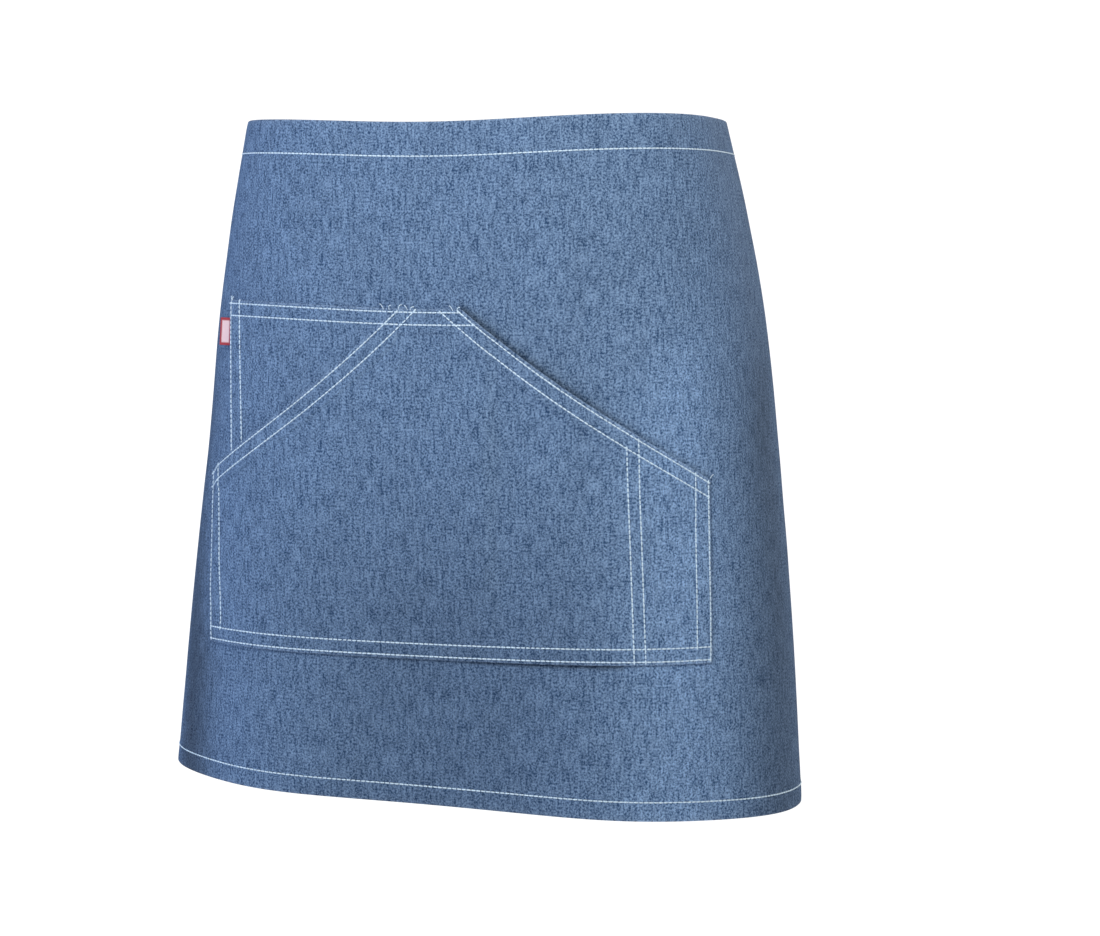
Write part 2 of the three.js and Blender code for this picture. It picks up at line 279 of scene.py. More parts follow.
@dataclass
class WornForm:
    """The form that the cloth takes round the wearer's hips."""

    waist_breadth: float = 310 * MM
    waist_depth: float = 240 * MM
    hem_breadth: float = 427 * MM
    waist_dip: float = 6.5 * MM
    dip_spread: float = 110 * MM
    hem_slope: float = 9 * MM
    loop_steps: int = 1440
    levels: int = 221
    reach: float = 0.62
    columns: int = 1241
    table: Array = field(init=False)
    half_loops: Array = field(init=False)

    def __post_init__(self) -> None:
        """Works out the plan of each level once."""
        shares = np.linspace(0, 1, self.levels)
        found = [self._level(share) for share in shares]
        self.table = np.array([row for row, _ in found])
        self.half_loops = np.array([half for _, half in found])

    def _section(self, key: str, share: float) -> float:
        """Returns one column of the section table at a share of the length, as a smooth curve."""
        rows = SECTIONS
        starts = [row.down for row in rows]
        k = min(len(rows) - 2, max(0, int(np.searchsorted(starts, share, side="right")) - 1))

        def slope(j: int) -> float:
            """Returns the curve's slope at a row."""
            a, b = rows[max(0, j - 1)], rows[min(len(rows) - 1, j + 1)]
            return (getattr(b, key) - getattr(a, key)) / (b.down - a.down)

        span = rows[k + 1].down - rows[k].down
        t = (share - rows[k].down) / span
        return (
            (2 * t**3 - 3 * t**2 + 1) * getattr(rows[k], key)
            + (t**3 - 2 * t**2 + t) * span * slope(k)
            + (3 * t**2 - 2 * t**3) * getattr(rows[k + 1], key)
            + (t**3 - t**2) * span * slope(k + 1)
        )

    @staticmethod
    def _arcs(points: Array) -> Array:
        """Returns distances along a loop, measured from its middle point."""
        steps = np.linalg.norm(np.diff(points, axis=0), axis=1)
        arcs = np.concatenate([[0], np.cumsum(steps)])
        return arcs - arcs[(len(points) - 1) // 2]

    @staticmethod
    def _outward(points: Array) -> Array:
        """Returns the outward direction at each point of a loop that ends where it starts."""
        ring = points[:-1]
        along = np.roll(ring, -1, axis=0) - np.roll(ring, 1, axis=0)
        outward = np.stack([along[:, 1], -along[:, 0]], axis=1)
        outward /= np.linalg.norm(outward, axis=1, keepdims=True)
        return np.vstack([outward, outward[:1]])

    def _level(self, share: float) -> tuple[Array, float]:
        """Returns the plan of a level at even steps across, and half its loop's length."""
        flare = self._section("flare", share)
        breadth = self.waist_breadth + (self.hem_breadth - self.waist_breadth) * flare
        half_depth = self.waist_depth / 2 * self._section("depth", share)
        front = self.waist_depth / 2 * self._section("forward", share)
        square = self._section("square", share)
        angle = np.linspace(-np.pi, np.pi, self.loop_steps + 1)
        sideways = np.abs(np.sin(angle)) / (breadth / 2)
        forwards = np.abs(np.cos(angle)) / half_depth
        radius = (sideways**square + forwards**square) ** (-1 / square)
        smooth = np.stack([radius * np.sin(angle), half_depth - front - radius * np.cos(angle)], 1)
        arcs = self._arcs(smooth)
        rise = sum(
            fold.rise
            * self.waist_depth
            * ease((share - fold.start) / (1 - fold.start))
            * np.exp(-(((arcs - fold.across * self.hem_breadth) / (fold.spread * self.hem_breadth)) ** 2))
            for fold in FOLDS
        )
        points = smooth + self._outward(smooth) * rise[:, None]
        arcs = self._arcs(points)
        values = np.hstack([points, self._outward(points)])
        even = np.linspace(-self.reach, self.reach, self.columns)
        return np.stack([np.interp(even, arcs, values[:, i]) for i in range(4)], 1), arcs[-1]

    def half_loop(self, down: Array) -> Array:
        """Returns half the loop's length at a distance below the top fold."""
        shares = np.clip(np.asarray(down) / LENGTH, 0, 1)
        return np.interp(shares, np.linspace(0, 1, self.levels), self.half_loops)

    def _plan(self, across: Array, down: Array) -> Array:
        """Returns plan position and outward direction of points of the cloth's inner face."""
        row = np.clip(down / LENGTH, 0, 1) * (self.levels - 1)
        column = (np.clip(across / self.reach, -1, 1) + 1) / 2 * (self.columns - 1)
        r = np.minimum(row.astype(int), self.levels - 2)
        c = np.minimum(column.astype(int), self.columns - 2)
        s, t = (row - r)[..., None], (column - c)[..., None]
        top = self.table[r, c] * (1 - t) + self.table[r, c + 1] * t
        bottom = self.table[r + 1, c] * (1 - t) + self.table[r + 1, c + 1] * t
        return top * (1 - s) + bottom * s

    def place(self, across: Array, down: Array, out: Array) -> Array:
        """Returns places in space.

        Args:
            across: Distance along the cloth from the centre front.
            down: Distance below the top fold.
            out: Distance outwards from the cloth's inner face.
        """
        across, down, out = np.broadcast_arrays(*[np.asarray(v, float) for v in (across, down, out)])
        plan = self._plan(across, down)
        outward = plan[..., 2:] / np.linalg.norm(plan[..., 2:], axis=-1, keepdims=True)
        flat = plan[..., :2] + outward * out[..., None]
        share = np.clip(down / LENGTH, 0, 1)
        dip = self.waist_dip * (1 - share) * np.exp(-((across / self.dip_spread) ** 2))
        drop = self.hem_slope * share * (flat[..., 0] / (self.hem_breadth / 2))
        height = CASING_DEPTH / 2 - down - dip - drop
        return np.concatenate([flat, height[..., None]], axis=-1)

    def outward(self, across: Array, down: Array) -> Array:
        """Returns level outward directions of points of the cloth."""
        across, down = np.broadcast_arrays(np.asarray(across, float), np.asarray(down, float))
        plan = self._plan(across, down)[..., 2:]
        plan = plan / np.linalg.norm(plan, axis=-1, keepdims=True)
        return np.concatenate([plan, np.zeros_like(plan[..., :1])], axis=-1)


@dataclass(frozen=True)
class Seam:
    """A stitched line on a cloth piece, in that piece's own coordinates."""

    points: tuple[tuple[float, float], ...]
    pucker: float = 0.12 * MM
    seed: int = 1
    groove: float = 0.22 * MM
    groove_reach: float = 0.8 * MM
    pucker_size: float = 5.5 * MM
    pucker_reach: float = 6 * MM
    pucker_start: float = 1.2 * MM

    def spread(self, u: Array, v: Array) -> tuple[Array, Array]:
        """Returns each point's distance from the seam, and its place along it.

        Args:
            u: First cloth coordinates.
            v: Second cloth coordinates.
        """
        line = np.array(self.points)
        lengths = np.linalg.norm(np.diff(line, axis=0), axis=1)
        starts = np.concatenate([[0], np.cumsum(lengths)])
        best = np.full(u.shape, np.inf)
        along = np.zeros(u.shape)
        for i, length in enumerate(lengths):
            du, dv = (line[i + 1] - line[i]) / length
            t = np.clip((u - line[i, 0]) * du + (v - line[i, 1]) * dv, 0, length)
            away = np.hypot(u - line[i, 0] - t * du, v - line[i, 1] - t * dv)
            nearer = away < best
            best = np.where(nearer, away, best)
            along = np.where(nearer, starts[i] + t, along)
        return best, along

    def relief(self, u: Array, v: Array) -> Array:
        """Returns how far the seam draws the cloth in, with small puckers beside it."""
        away, along = self.spread(u, v)
        groove = -self.groove * np.exp(-((away / self.groove_reach) ** 2))
        waves = soft_noise(along / self.pucker_size, np.zeros_like(along) + 0.37, self.seed)
        beside = np.exp(-away / self.pucker_reach) * (1 - np.exp(-away / self.pucker_start))
        return groove + self.pucker * waves * beside


def relief_of(seams: Sequence[Seam], u: Array, v: Array) -> Array:
    """Returns the relief of several seams, with the deepest groove where they cross."""
    if not seams:
        return np.zeros_like(u)
    found = np.array([seam.relief(u, v) for seam in seams])
    return np.where(found.min(axis=0) < -CROSSING_DEPTH, found.min(axis=0), found.sum(axis=0))


def make_piece(name: str, points: Array, faces: Sequence[Sequence[int]]) -> Piece:
    """Returns a smooth mesh object at the origin."""
    mesh = bpy.data.meshes.new(name)
    mesh.from_pydata(np.asarray(points, float).tolist(), [], [list(map(int, f)) for f in faces])
    mesh.validate()
    mesh.shade_smooth()
    piece = bpy.data.objects.new(name, mesh)
    bpy.context.scene.collection.objects.link(piece)
    return piece


def add_field(piece: Piece, name: str, values: Array) -> None:
    """Stores one number for each of a piece's vertices.

    Args:
        piece: The piece.
        name: Name that the piece's material reads.
        values: The numbers, in the order of the vertices.
    """
    attribute = piece.data.attributes.new(name, "FLOAT", "POINT")
    attribute.data.foreach_set("value", np.asarray(values, np.float32).ravel())


def add_cloth_map(piece: Piece, u: Array, v: Array) -> None:
    """Stores the cloth coordinates as the piece's UV map, in metres."""
    layer = piece.data.uv_layers.new(name="cloth")
    corners = np.zeros(len(piece.data.loops), np.int32)
    piece.data.loops.foreach_get("vertex_index", corners)
    pairs = np.stack([u.ravel()[corners], v.ravel()[corners]], 1)
    layer.data.foreach_set("uv", pairs.astype(np.float32).ravel())


@dataclass
class ClothShell:
    """A piece of cloth as one closed shell over a grid, with both faces and rounded folds.

    Attributes:
        name: Name of the piece.
        u: Grid of the first cloth coordinates.
        v: Grid of the second cloth coordinates.
        outer: Gives the outer face's points.
        inner: Gives the inner face's points.
        strap: Whether the piece is a strap, whose warp runs along the first coordinate.
    """

    name: str
    u: Array
    v: Array
    outer: PointField
    inner: PointField
    strap: bool = False

    def build(self, wear: Array, reverse: Array, painted_shading: Array | None = None) -> Piece:
        """Returns the piece.

        Args:
            wear: Paleness of the outer face at each grid point, from 0 to 1.
            reverse: 1 where the inner face shows the cloth's reverse, and 0 where it is turned in.
            painted_shading: Painted light and shade on the outer face, as a share of its colour, or None
                for none.
        """
        columns, rows = self.u.shape
        front = np.arange(columns * rows).reshape(columns, rows)
        back = front.copy()
        inside = np.zeros((columns, rows), bool)
        inside[1:-1, 1:-1] = True
        back[inside] = columns * rows + np.arange(inside.sum())
        points = np.vstack([
            self.outer(self.u, self.v).reshape(-1, 3),
            self.inner(self.u, self.v)[inside],
        ])
        faces = np.vstack([self._quads(front), self._quads(back)[:, ::-1]])
        piece = make_piece(self.name, points, faces)
        weft, warp = (self.v, self.u) if self.strap else (self.u, self.v)
        add_cloth_map(
            piece,
            np.concatenate([weft.ravel(), weft[inside]]),
            np.concatenate([warp.ravel(), warp[inside]]),
        )
        add_field(piece, "wear", np.concatenate([wear.ravel(), wear[inside] * 0.5]))
        add_field(piece, "reverse", np.concatenate([wear.ravel() * 0, reverse[inside]]))
        # Painted light and shade go on the outer face only.
        tone = np.zeros_like(wear) if painted_shading is None else painted_shading
        add_field(piece, "painted_shading", np.concatenate([tone.ravel(), tone[inside] * 0]))
        return piece

    @staticmethod
    def _quads(index: Array) -> Array:
        """Returns a grid's faces, turned outwards for the outer face."""
        a, b = index[:-1, :-1].ravel(), index[:-1, 1:].ravel()
        c, d = index[1:, 1:].ravel(), index[1:, :-1].ravel()
        return np.stack([a, b, c, d], 1)


def link(tree: Tree, start: Socket, end: Socket) -> None:
    """Joins two sockets of a tree."""
    tree.links.new(start, end)


def add_node(tree: Tree, kind: str, inputs: dict[str | int, object], **settings: object) -> Node:
    """Returns a new node.

    Args:
        tree: Tree that the node goes in.
        kind: Type of the node.
        inputs: For each input, the socket that feeds it or its plain value.
        settings: The node's own settings.
    """
    node = tree.nodes.new(kind)
    for name, value in settings.items():
        setattr(node, name, value)
    for key, value in inputs.items():
        if isinstance(value, Socket):
            link(tree, value, node.inputs[key])
        else:
            node.inputs[key].default_value = value
    return node


def math_node(tree: Tree, operation: str, a: object, b: object = 0.0, clamp: bool = False) -> Socket:
    """Returns the output of a Math node.

    Args:
        tree: Tree that the node goes in.
        operation: The node's operation.
        a: First value, a number or a socket.
        b: Second value, a number or a socket.
        clamp: Whether the result is kept from 0 to 1.
    """
    node = add_node(tree, "ShaderNodeMath", {0: a, 1: b}, operation=operation, use_clamp=clamp)
    return node.outputs[0]


def noise(
    tree: Tree, vector: Socket, sizes: Sequence[float], detail: float = 2.0, roughness: float = 0.5
) -> Socket:
    """Returns a noise value from 0 to 1 with features of the given sizes."""
    scales = [1 / size for size in sizes]
    place = add_node(tree, "ShaderNodeVectorMath", {0: vector, 1: scales}, operation="MULTIPLY")
    values = {"Vector": place.outputs[0], "Scale": 1.0, "Detail": detail, "Roughness": roughness}
    return add_node(tree, "ShaderNodeTexNoise", values, noise_dimensions="3D").outputs["Fac"]


def colour_mix(tree: Tree, share: Socket, a: Socket | Colour, b: Socket | Colour) -> Socket:
    """Returns a mix of two colours, each a socket or a plain colour."""
    node = add_node(tree, "ShaderNodeMix", {"Factor": share}, data_type="RGBA")
    for name, value in (("A", a), ("B", b)):
        socket = next(s for s in node.inputs if s.name == name and s.type == "RGBA")
        if isinstance(value, Socket):
            link(tree, value, socket)
        else:
            socket.default_value = (*value, 1.0)
    return next(s for s in node.outputs if s.type == "RGBA")


def new_group(
    name: str, kind: str, inputs: dict[str, tuple[str, object]], outputs: dict[str, str]
) -> tuple[Tree, Node, Node]:
    """Returns a new node group, its input node and its output node.

    Args:
        name: Name of the group.
        kind: Type of the tree.
        inputs: For each input its socket's type and default value, or None for no default.
        outputs: For each output its socket's type.
    """
    tree = bpy.data.node_groups.new(name, kind)
    for key, (socket_type, value) in inputs.items():
        socket = tree.interface.new_socket(key, in_out="INPUT", socket_type=socket_type)
        if value is not None:
            socket.default_value = value
    for key, socket_type in outputs.items():
        tree.interface.new_socket(key, in_out="OUTPUT", socket_type=socket_type)
    return tree, tree.nodes.new("NodeGroupInput"), tree.nodes.new("NodeGroupOutput")


@dataclass(frozen=True)
class Twill:
    """The twill weave, with slanting ribs and uneven yarns.

    Attributes:
        slant: How far a rib runs across for each step down.
        wobble: How far a rib strays.
        wobble_sizes: Feature sizes of its straying.
        rib: How much of the tone the ribs give.
        yarns: For each unevenness its size across, its size down and its strength.
        relief_rib: How much of the relief the ribs give.
        relief_tone: How much of the relief the tone gives.
    """

    slant: float = 0.55
    wobble: float = 0.5 * MM
    wobble_sizes: tuple[float, float, float] = (2.5 * MM, 6 * MM, 1.0)
    rib: float = 0.10
    yarns: tuple[tuple[float, float, float], ...] = (
        (1.25 * MM, 1.35 * MM, 2.7),
        (2.1 * MM, 12 * MM, 1.15),
        (7 * MM, 12 * MM, 0.45),
    )
    relief_rib: float = 0.35
    relief_tone: float = 0.9

    def group(self) -> Tree:
        """Returns the shared shader group.

        Its Tone is 0 where the dark warp lies on top and 1 where the pale weft shows, and its
        Height is the relief of both.
        """
        inputs = {
            "Cloth": ("NodeSocketVector", None),
            "Rib Pitch": ("NodeSocketFloat", 0.6 * MM),
            "Contrast": ("NodeSocketFloat", 1.0),
        }
        outputs = {"Tone": "NodeSocketFloat", "Height": "NodeSocketFloat"}
        tree, start, end = new_group("twill_weave", "ShaderNodeTree", inputs, outputs)
        cloth = start.outputs["Cloth"]
        split = add_node(tree, "ShaderNodeSeparateXYZ", {0: cloth})
        steep = math_node(tree, "MULTIPLY", split.outputs["Y"], self.slant)
        slant = math_node(tree, "ADD", split.outputs["X"], steep)
        stray = math_node(tree, "MULTIPLY", noise(tree, cloth, self.wobble_sizes), self.wobble)
        place = math_node(tree, "ADD", slant, stray)
        phase = math_node(tree, "DIVIDE", place, start.outputs["Rib Pitch"])
        rib = math_node(tree, "SINE", math_node(tree, "MULTIPLY", phase, math.tau))
        mixed = math_node(tree, "MULTIPLY", rib, self.rib)
        for across, down, strength in self.yarns:
            value = noise(tree, cloth, (across, down, 1.0), roughness=0.6)
            centred = math_node(tree, "SUBTRACT", value, 0.5)
            part = math_node(tree, "MULTIPLY", centred, strength)
            mixed = math_node(tree, "ADD", mixed, part)
        spread = math_node(tree, "MULTIPLY", mixed, start.outputs["Contrast"])
        tone = math_node(tree, "ADD", spread, 0.5, clamp=True)
        link(tree, tone, end.inputs["Tone"])
        ribs = math_node(tree, "MULTIPLY", rib, self.relief_rib)
        high = math_node(tree, "ADD", ribs, math_node(tree, "MULTIPLY", tone, self.relief_tone))
        link(tree, high, end.inputs["Height"])
        return tree


@dataclass(frozen=True)
class Mottle:
    """A slow change of tone over a dyed surface, with the sizes of its two features."""

    broad: tuple[float, float, float] = (35 * MM, 60 * MM, 40 * MM)
    small: tuple[float, float, float] = (5 * MM, 9 * MM, 6 * MM)

    def group(self) -> Tree:
        """Returns the shared shader group, whose Gain changes around 1."""
        inputs = {"Place": ("NodeSocketVector", None), "Amount": ("NodeSocketFloat", 0.1)}
        outputs = {"Gain": "NodeSocketFloat"}
        tree, start, end = new_group("dye_mottle", "ShaderNodeTree", inputs, outputs)
        broad = noise(tree, start.outputs["Place"], self.broad, detail=3.0)
        small = noise(tree, start.outputs["Place"], self.small)
        both = math_node(tree, "SUBTRACT", math_node(tree, "ADD", broad, small), 1.0)
        change = math_node(tree, "MULTIPLY", both, start.outputs["Amount"])
        link(tree, math_node(tree, "ADD", change, 1.0), end.inputs["Gain"])
        return tree


@dataclass(frozen=True)
class SharedGroups:
    """The shader groups that more than one finish uses."""

    weave: Tree
    mottle: Tree


class Finish:
    """What every finish's material shares: its tree, its shader and the ways to feed them."""

    def __init__(self, name: str) -> None:
        """Makes the material.

        Args:
            name: Name of the material.
        """
        self.material = bpy.data.materials.new(name)
        self.material.use_nodes = True
        self.tree = self.material.node_tree
        self.shader = self.tree.nodes["Principled BSDF"]

    def cloth(self) -> Socket:
        """Returns the piece's cloth coordinates."""
        return add_node(self.tree, "ShaderNodeUVMap", {}, uv_map="cloth").outputs["UV"]

    def field(self, name: str) -> Socket:
        """Returns the value of one of the piece's own fields."""
        settings = {"attribute_type": "GEOMETRY", "attribute_name": name}
        return add_node(self.tree, "ShaderNodeAttribute", {}, **settings).outputs["Fac"]

    def group(self, group: Tree, inputs: dict[str, object]) -> Node:
        """Returns a node that holds a shader group, with its inputs set."""
        return add_node(self.tree, "ShaderNodeGroup", inputs, node_tree=group)

    def paint(self, colour: Socket, gain: Socket | None = None) -> None:
        """Feeds the shader its colour, made brighter by a gain where there is one."""
        if gain is not None:
            inputs = {0: colour, "Scale": gain}
            colour = add_node(self.tree, "ShaderNodeVectorMath", inputs, operation="SCALE").outputs[0]
        link(self.tree, colour, self.shader.inputs["Base Color"])

    def emboss(self, height: Socket, relief: float) -> None:
        """Feeds the shader its relief."""
        bump = add_node(self.tree, "ShaderNodeBump", {"Distance": relief, "Height": height})
        link(self.tree, bump.outputs["Normal"], self.shader.inputs["Normal"])

    def settle(self, values: dict[str, object]) -> None:
        """Sets the shader's plain values."""
        for name, value in values.items():
            self.shader.inputs[name].default_value = value


@dataclass(frozen=True)
class Denim:
    """Washed mid-blue denim, with a paler reverse."""

    warp: Colour = (0.022, 0.059, 0.142)
    weft: Colour = (0.220, 0.343, 0.546)
    reverse_warp: Colour = (0.20, 0.27, 0.40)
    reverse_weft: Colour = (0.55, 0.62, 0.72)
    worn: Colour = (0.30, 0.40, 0.56)
    rib_pitch: float = 0.62 * MM
    contrast: float = 1.12
    mottle: float = 0.26
    relief: float = 0.12 * MM
    roughness: float = 0.92
    specular: float = 0.15
    sheen: float = 0.05
    sheen_roughness: float = 0.6
    sheen_tint: Colour = (0.75, 0.85, 1.0)

    def material(self, groups: SharedGroups) -> Material:
        """Returns the denim's material."""
        finish = Finish("denim")
        tree, cloth = finish.tree, finish.cloth()
        pitch = {"Rib Pitch": self.rib_pitch, "Contrast": self.contrast}
        weave = finish.group(groups.weave, {"Cloth": cloth, **pitch})
        mottle = finish.group(groups.mottle, {"Place": cloth, "Amount": self.mottle})
        tone = weave.outputs["Tone"]
        face = colour_mix(tree, tone, self.warp, self.weft)
        back = colour_mix(tree, tone, self.reverse_warp, self.reverse_weft)
        both = colour_mix(tree, finish.field("reverse"), face, back)
        rubbed = math_node(tree, "MULTIPLY", finish.field("wear"), tone, clamp=True)
        # The piece's painted light and shade scale the colour, together with the mottle.
        painted_shading_gain = math_node(tree, "ADD", finish.field("painted_shading"), 1.0)
        gain = math_node(tree, "MULTIPLY", mottle.outputs["Gain"], painted_shading_gain)
        finish.paint(colour_mix(tree, rubbed, both, self.worn), gain)
        finish.emboss(weave.outputs["Height"], self.relief)
        finish.settle({
            "Roughness": self.roughness,
            "Specular IOR Level": self.specular,
            "Sheen Weight": self.sheen,
            "Sheen Roughness": self.sheen_roughness,
            "Sheen Tint": (*self.sheen_tint, 1.0),
        })
        return finish.material


@dataclass(frozen=True)
class TopstitchThread:
    """Pale blue twisted thread."""

    pale: Colour = (0.74, 0.90, 1.0)
    dark: Colour = (0.50, 0.66, 0.84)
    mottle: float = 0.25
    relief: float = 0.06 * MM
    roughness: float = 0.75
    sheen: float = 0.3

    def material(self, groups: SharedGroups) -> Material:
        """Returns the thread's material, whose strands follow the field named lay."""
        finish = Finish("topstitch_thread")
        tree = finish.tree
        turn = math_node(tree, "MULTIPLY", finish.field("lay"), math.tau)
        wave = math_node(tree, "MULTIPLY", math_node(tree, "SINE", turn), 0.5)
        strand = math_node(tree, "ADD", wave, 0.5)
        where = add_node(tree, "ShaderNodeTexCoord", {}).outputs["Object"]
        mottle = finish.group(groups.mottle, {"Place": where, "Amount": self.mottle})
        finish.paint(colour_mix(tree, strand, self.dark, self.pale), mottle.outputs["Gain"])
        finish.emboss(strand, self.relief)
        finish.settle({"Roughness": self.roughness, "Sheen Weight": self.sheen})
        return finish.material


@dataclass(frozen=True)
class WovenTape:
    """Red woven tape with a pale plain field."""

    red: Colour = (0.52, 0.035, 0.05)
    dark_red: Colour = (0.30, 0.012, 0.022)
    pale: Colour = (0.88, 0.62, 0.64)
    rib_pitch: float = 0.35 * MM
    contrast: float = 0.5
    relief: float = 0.05 * MM
    roughness: float = 0.7

    def material(self, groups: SharedGroups) -> Material:
        """Returns the tape's material, whose pale field follows the field named field."""
        finish = Finish("woven_tape")
        pitch = {"Rib Pitch": self.rib_pitch, "Contrast": self.contrast}
        weave = finish.group(groups.weave, {"Cloth": finish.cloth(), **pitch})
        ground = colour_mix(finish.tree, weave.outputs["Tone"], self.dark_red, self.red)
        finish.paint(colour_mix(finish.tree, finish.field("field"), ground, self.pale))
        finish.emboss(weave.outputs["Height"], self.relief)
        finish.settle({"Roughness": self.roughness})
        return finish.material


@dataclass(frozen=True)
class Finishes:
    """The apron's materials."""

    denim: Material
    thread: Material
    tape: Material


def build_finishes() -> Finishes:
    """Returns every finish of the apron."""
    groups = SharedGroups(weave=Twill().group(), mottle=Mottle().group())
    return Finishes(
        denim=Denim().material(groups),
        thread=TopstitchThread().material(groups),
        tape=WovenTape().material(groups),
    )


def dress(piece: Piece, material: bpy.types.Material, slot: str, *nodes: str) -> None:
    """Gives a finished piece its material and body, and hides the solids that it stands for.

    Args:
        piece: The piece.
        material: Its material.
        slot: Name of its material slot in the record; not used.
        nodes: The solids that it stands for.
    """
    if not piece.data.materials:
        piece.data.materials.append(material)
    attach(piece, BODY)
    if nodes:
        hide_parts(*nodes)
    log.info("%s: %d faces", piece.name, len(piece.data.polygons))


@dataclass(frozen=True)
class StitchRow:
    """One row of stitches: the points that it follows, and the outward direction at each."""

    points: Array
    outward: Array


@dataclass
class Stitcher:
    """Sews rows of stitches with Geometry Nodes.

    Attributes:
        thread: Material of the stitches.
        pitch: Distance between stitches.
        length: Length of a stitch.
        thickness: Thickness of the thread.
        rise: How far a stitch arches, as a share of its thickness.
        twists: How often its strands turn along a stitch.
        sway: How far a stitch may turn aside, in radians.
        least_size: Least random scale of a stitch.
        most_size: Greatest random scale of a stitch.
        seed: Seed of what is random.
        tree: The Geometry Nodes tree.
    """

    thread: Material
    pitch: float = 3.2 * MM
    length: float = 2.6 * MM
    thickness: float = 0.94 * MM
    rise: float = 0.62
    twists: float = 3.0
    sway: float = 0.07
    least_size: tuple[float, float, float] = (0.93, 0.9, 0.9)
    most_size: tuple[float, float, float] = (1.06, 1.1, 1.1)
    seed: int = 11
    tree: Tree = field(init=False)

    def __post_init__(self) -> None:
        """Builds the tree once."""
        self.tree = self._build_tree()

    def _build_tree(self) -> Tree:
        """Returns the tree that lays a stitch at every pitch along a row."""
        inputs = {
            "Rows": ("NodeSocketGeometry", None),
            "Pitch": ("NodeSocketFloat", self.pitch),
            "Stitch Length": ("NodeSocketFloat", self.length),
            "Thickness": ("NodeSocketFloat", self.thickness),
            "Seed": ("NodeSocketInt", self.seed),
            "Thread": ("NodeSocketMaterial", None),
        }
        outputs = {"Stitches": "NodeSocketGeometry"}
        tree, start, end = new_group("stitch_rows", "GeometryNodeTree", inputs, outputs)
        curve = add_node(tree, "GeometryNodeMeshToCurve", {0: start.outputs["Rows"]})
        row = {"Curve": curve.outputs[0], "Length": start.outputs["Pitch"]}
        even = add_node(tree, "GeometryNodeResampleCurve", row, mode="LENGTH")
        place = add_node(tree, "GeometryNodeInstanceOnPoints", {
            "Points": even.outputs[0],
            "Instance": self._stitch(tree, start),
            "Rotation": self._turn(tree, start),
            "Scale": self._chance(tree, start, self.least_size, self.most_size),
        })
        real = add_node(tree, "GeometryNodeRealizeInstances", {0: place.outputs[0]})
        dyed = {"Geometry": real.outputs[0], "Material": start.outputs["Thread"]}
        finish = add_node(tree, "GeometryNodeSetMaterial", dyed)
        link(tree, finish.outputs[0], end.inputs["Stitches"])
        return tree

    def _stitch(self, tree: Tree, start: Node) -> Socket:
        """Returns one stitch along X: a thread that rises out of the cloth and dips in again."""
        thickness = start.outputs["Thickness"]
        half = math_node(tree, "MULTIPLY", start.outputs["Stitch Length"], 0.5)
        back = math_node(tree, "MULTIPLY", half, -1.0)
        sunk = math_node(tree, "MULTIPLY", thickness, -0.5)
        risen = math_node(tree, "MULTIPLY", thickness, self.rise)
        corners = {
            name: add_node(tree, "ShaderNodeCombineXYZ", {"X": x, "Z": z}).outputs[0]
            for name, x, z in (("Start", back, sunk), ("Middle", 0.0, risen), ("End", half, sunk))
        }
        arc = add_node(tree, "GeometryNodeCurveQuadraticBezier", {"Resolution": 4, **corners})
        along = add_node(tree, "GeometryNodeSplineParameter", {})
        turns = math_node(tree, "MULTIPLY", along.outputs["Factor"], self.twists)
        lay = {"Geometry": arc.outputs[0], "Name": "lay", "Value": turns}
        laid = add_node(tree, "GeometryNodeStoreNamedAttribute", lay, data_type="FLOAT")
        radius = math_node(tree, "MULTIPLY", thickness, 0.5)
        round_thread = {"Resolution": 6, "Radius": radius}
        ring = add_node(tree, "GeometryNodeCurvePrimitiveCircle", round_thread)
        sweep = {"Curve": laid.outputs[0], "Profile Curve": ring.outputs[0], "Fill Caps": True}
        tube = add_node(tree, "GeometryNodeCurveToMesh", sweep)
        return add_node(tree, "GeometryNodeSetShadeSmooth", {0: tube.outputs[0]}).outputs[0]

    def _turn(self, tree: Tree, start: Node) -> Socket:
        """Returns each stitch's rotation: X along the row, Z outwards, and a slight random turn."""
        align = "FunctionNodeAlignRotationToVector"
        tangent = add_node(tree, "GeometryNodeInputTangent", {})
        along = add_node(tree, align, {"Vector": tangent.outputs[0]}, axis="X")
        named = {"Name": "outward"}
        outward = add_node(tree, "GeometryNodeInputNamedAttribute", named, data_type="FLOAT_VECTOR")
        facing = {"Rotation": along.outputs[0], "Vector": outward.outputs["Attribute"]}
        faced = add_node(tree, align, facing, axis="Z", pivot_axis="X")
        chance = self._chance(tree, start, (0.0, 0.0, -self.sway), (0.0, 0.0, self.sway))
        slight = add_node(tree, "FunctionNodeEulerToRotation", {0: chance})
        turn = {"Rotation": faced.outputs[0], "Rotate By": slight.outputs[0]}
        return add_node(tree, "FunctionNodeRotateRotation", turn, rotation_space="LOCAL").outputs[0]

    @staticmethod
    def _chance(tree: Tree, start: Node, least: Sequence[float], most: Sequence[float]) -> Socket:
        """Returns a random vector for each stitch."""
        limits = {"Min": least, "Max": most, "Seed": start.outputs["Seed"]}
        node = add_node(tree, "FunctionNodeRandomValue", limits, data_type="FLOAT_VECTOR")
        return node.outputs["Value"]

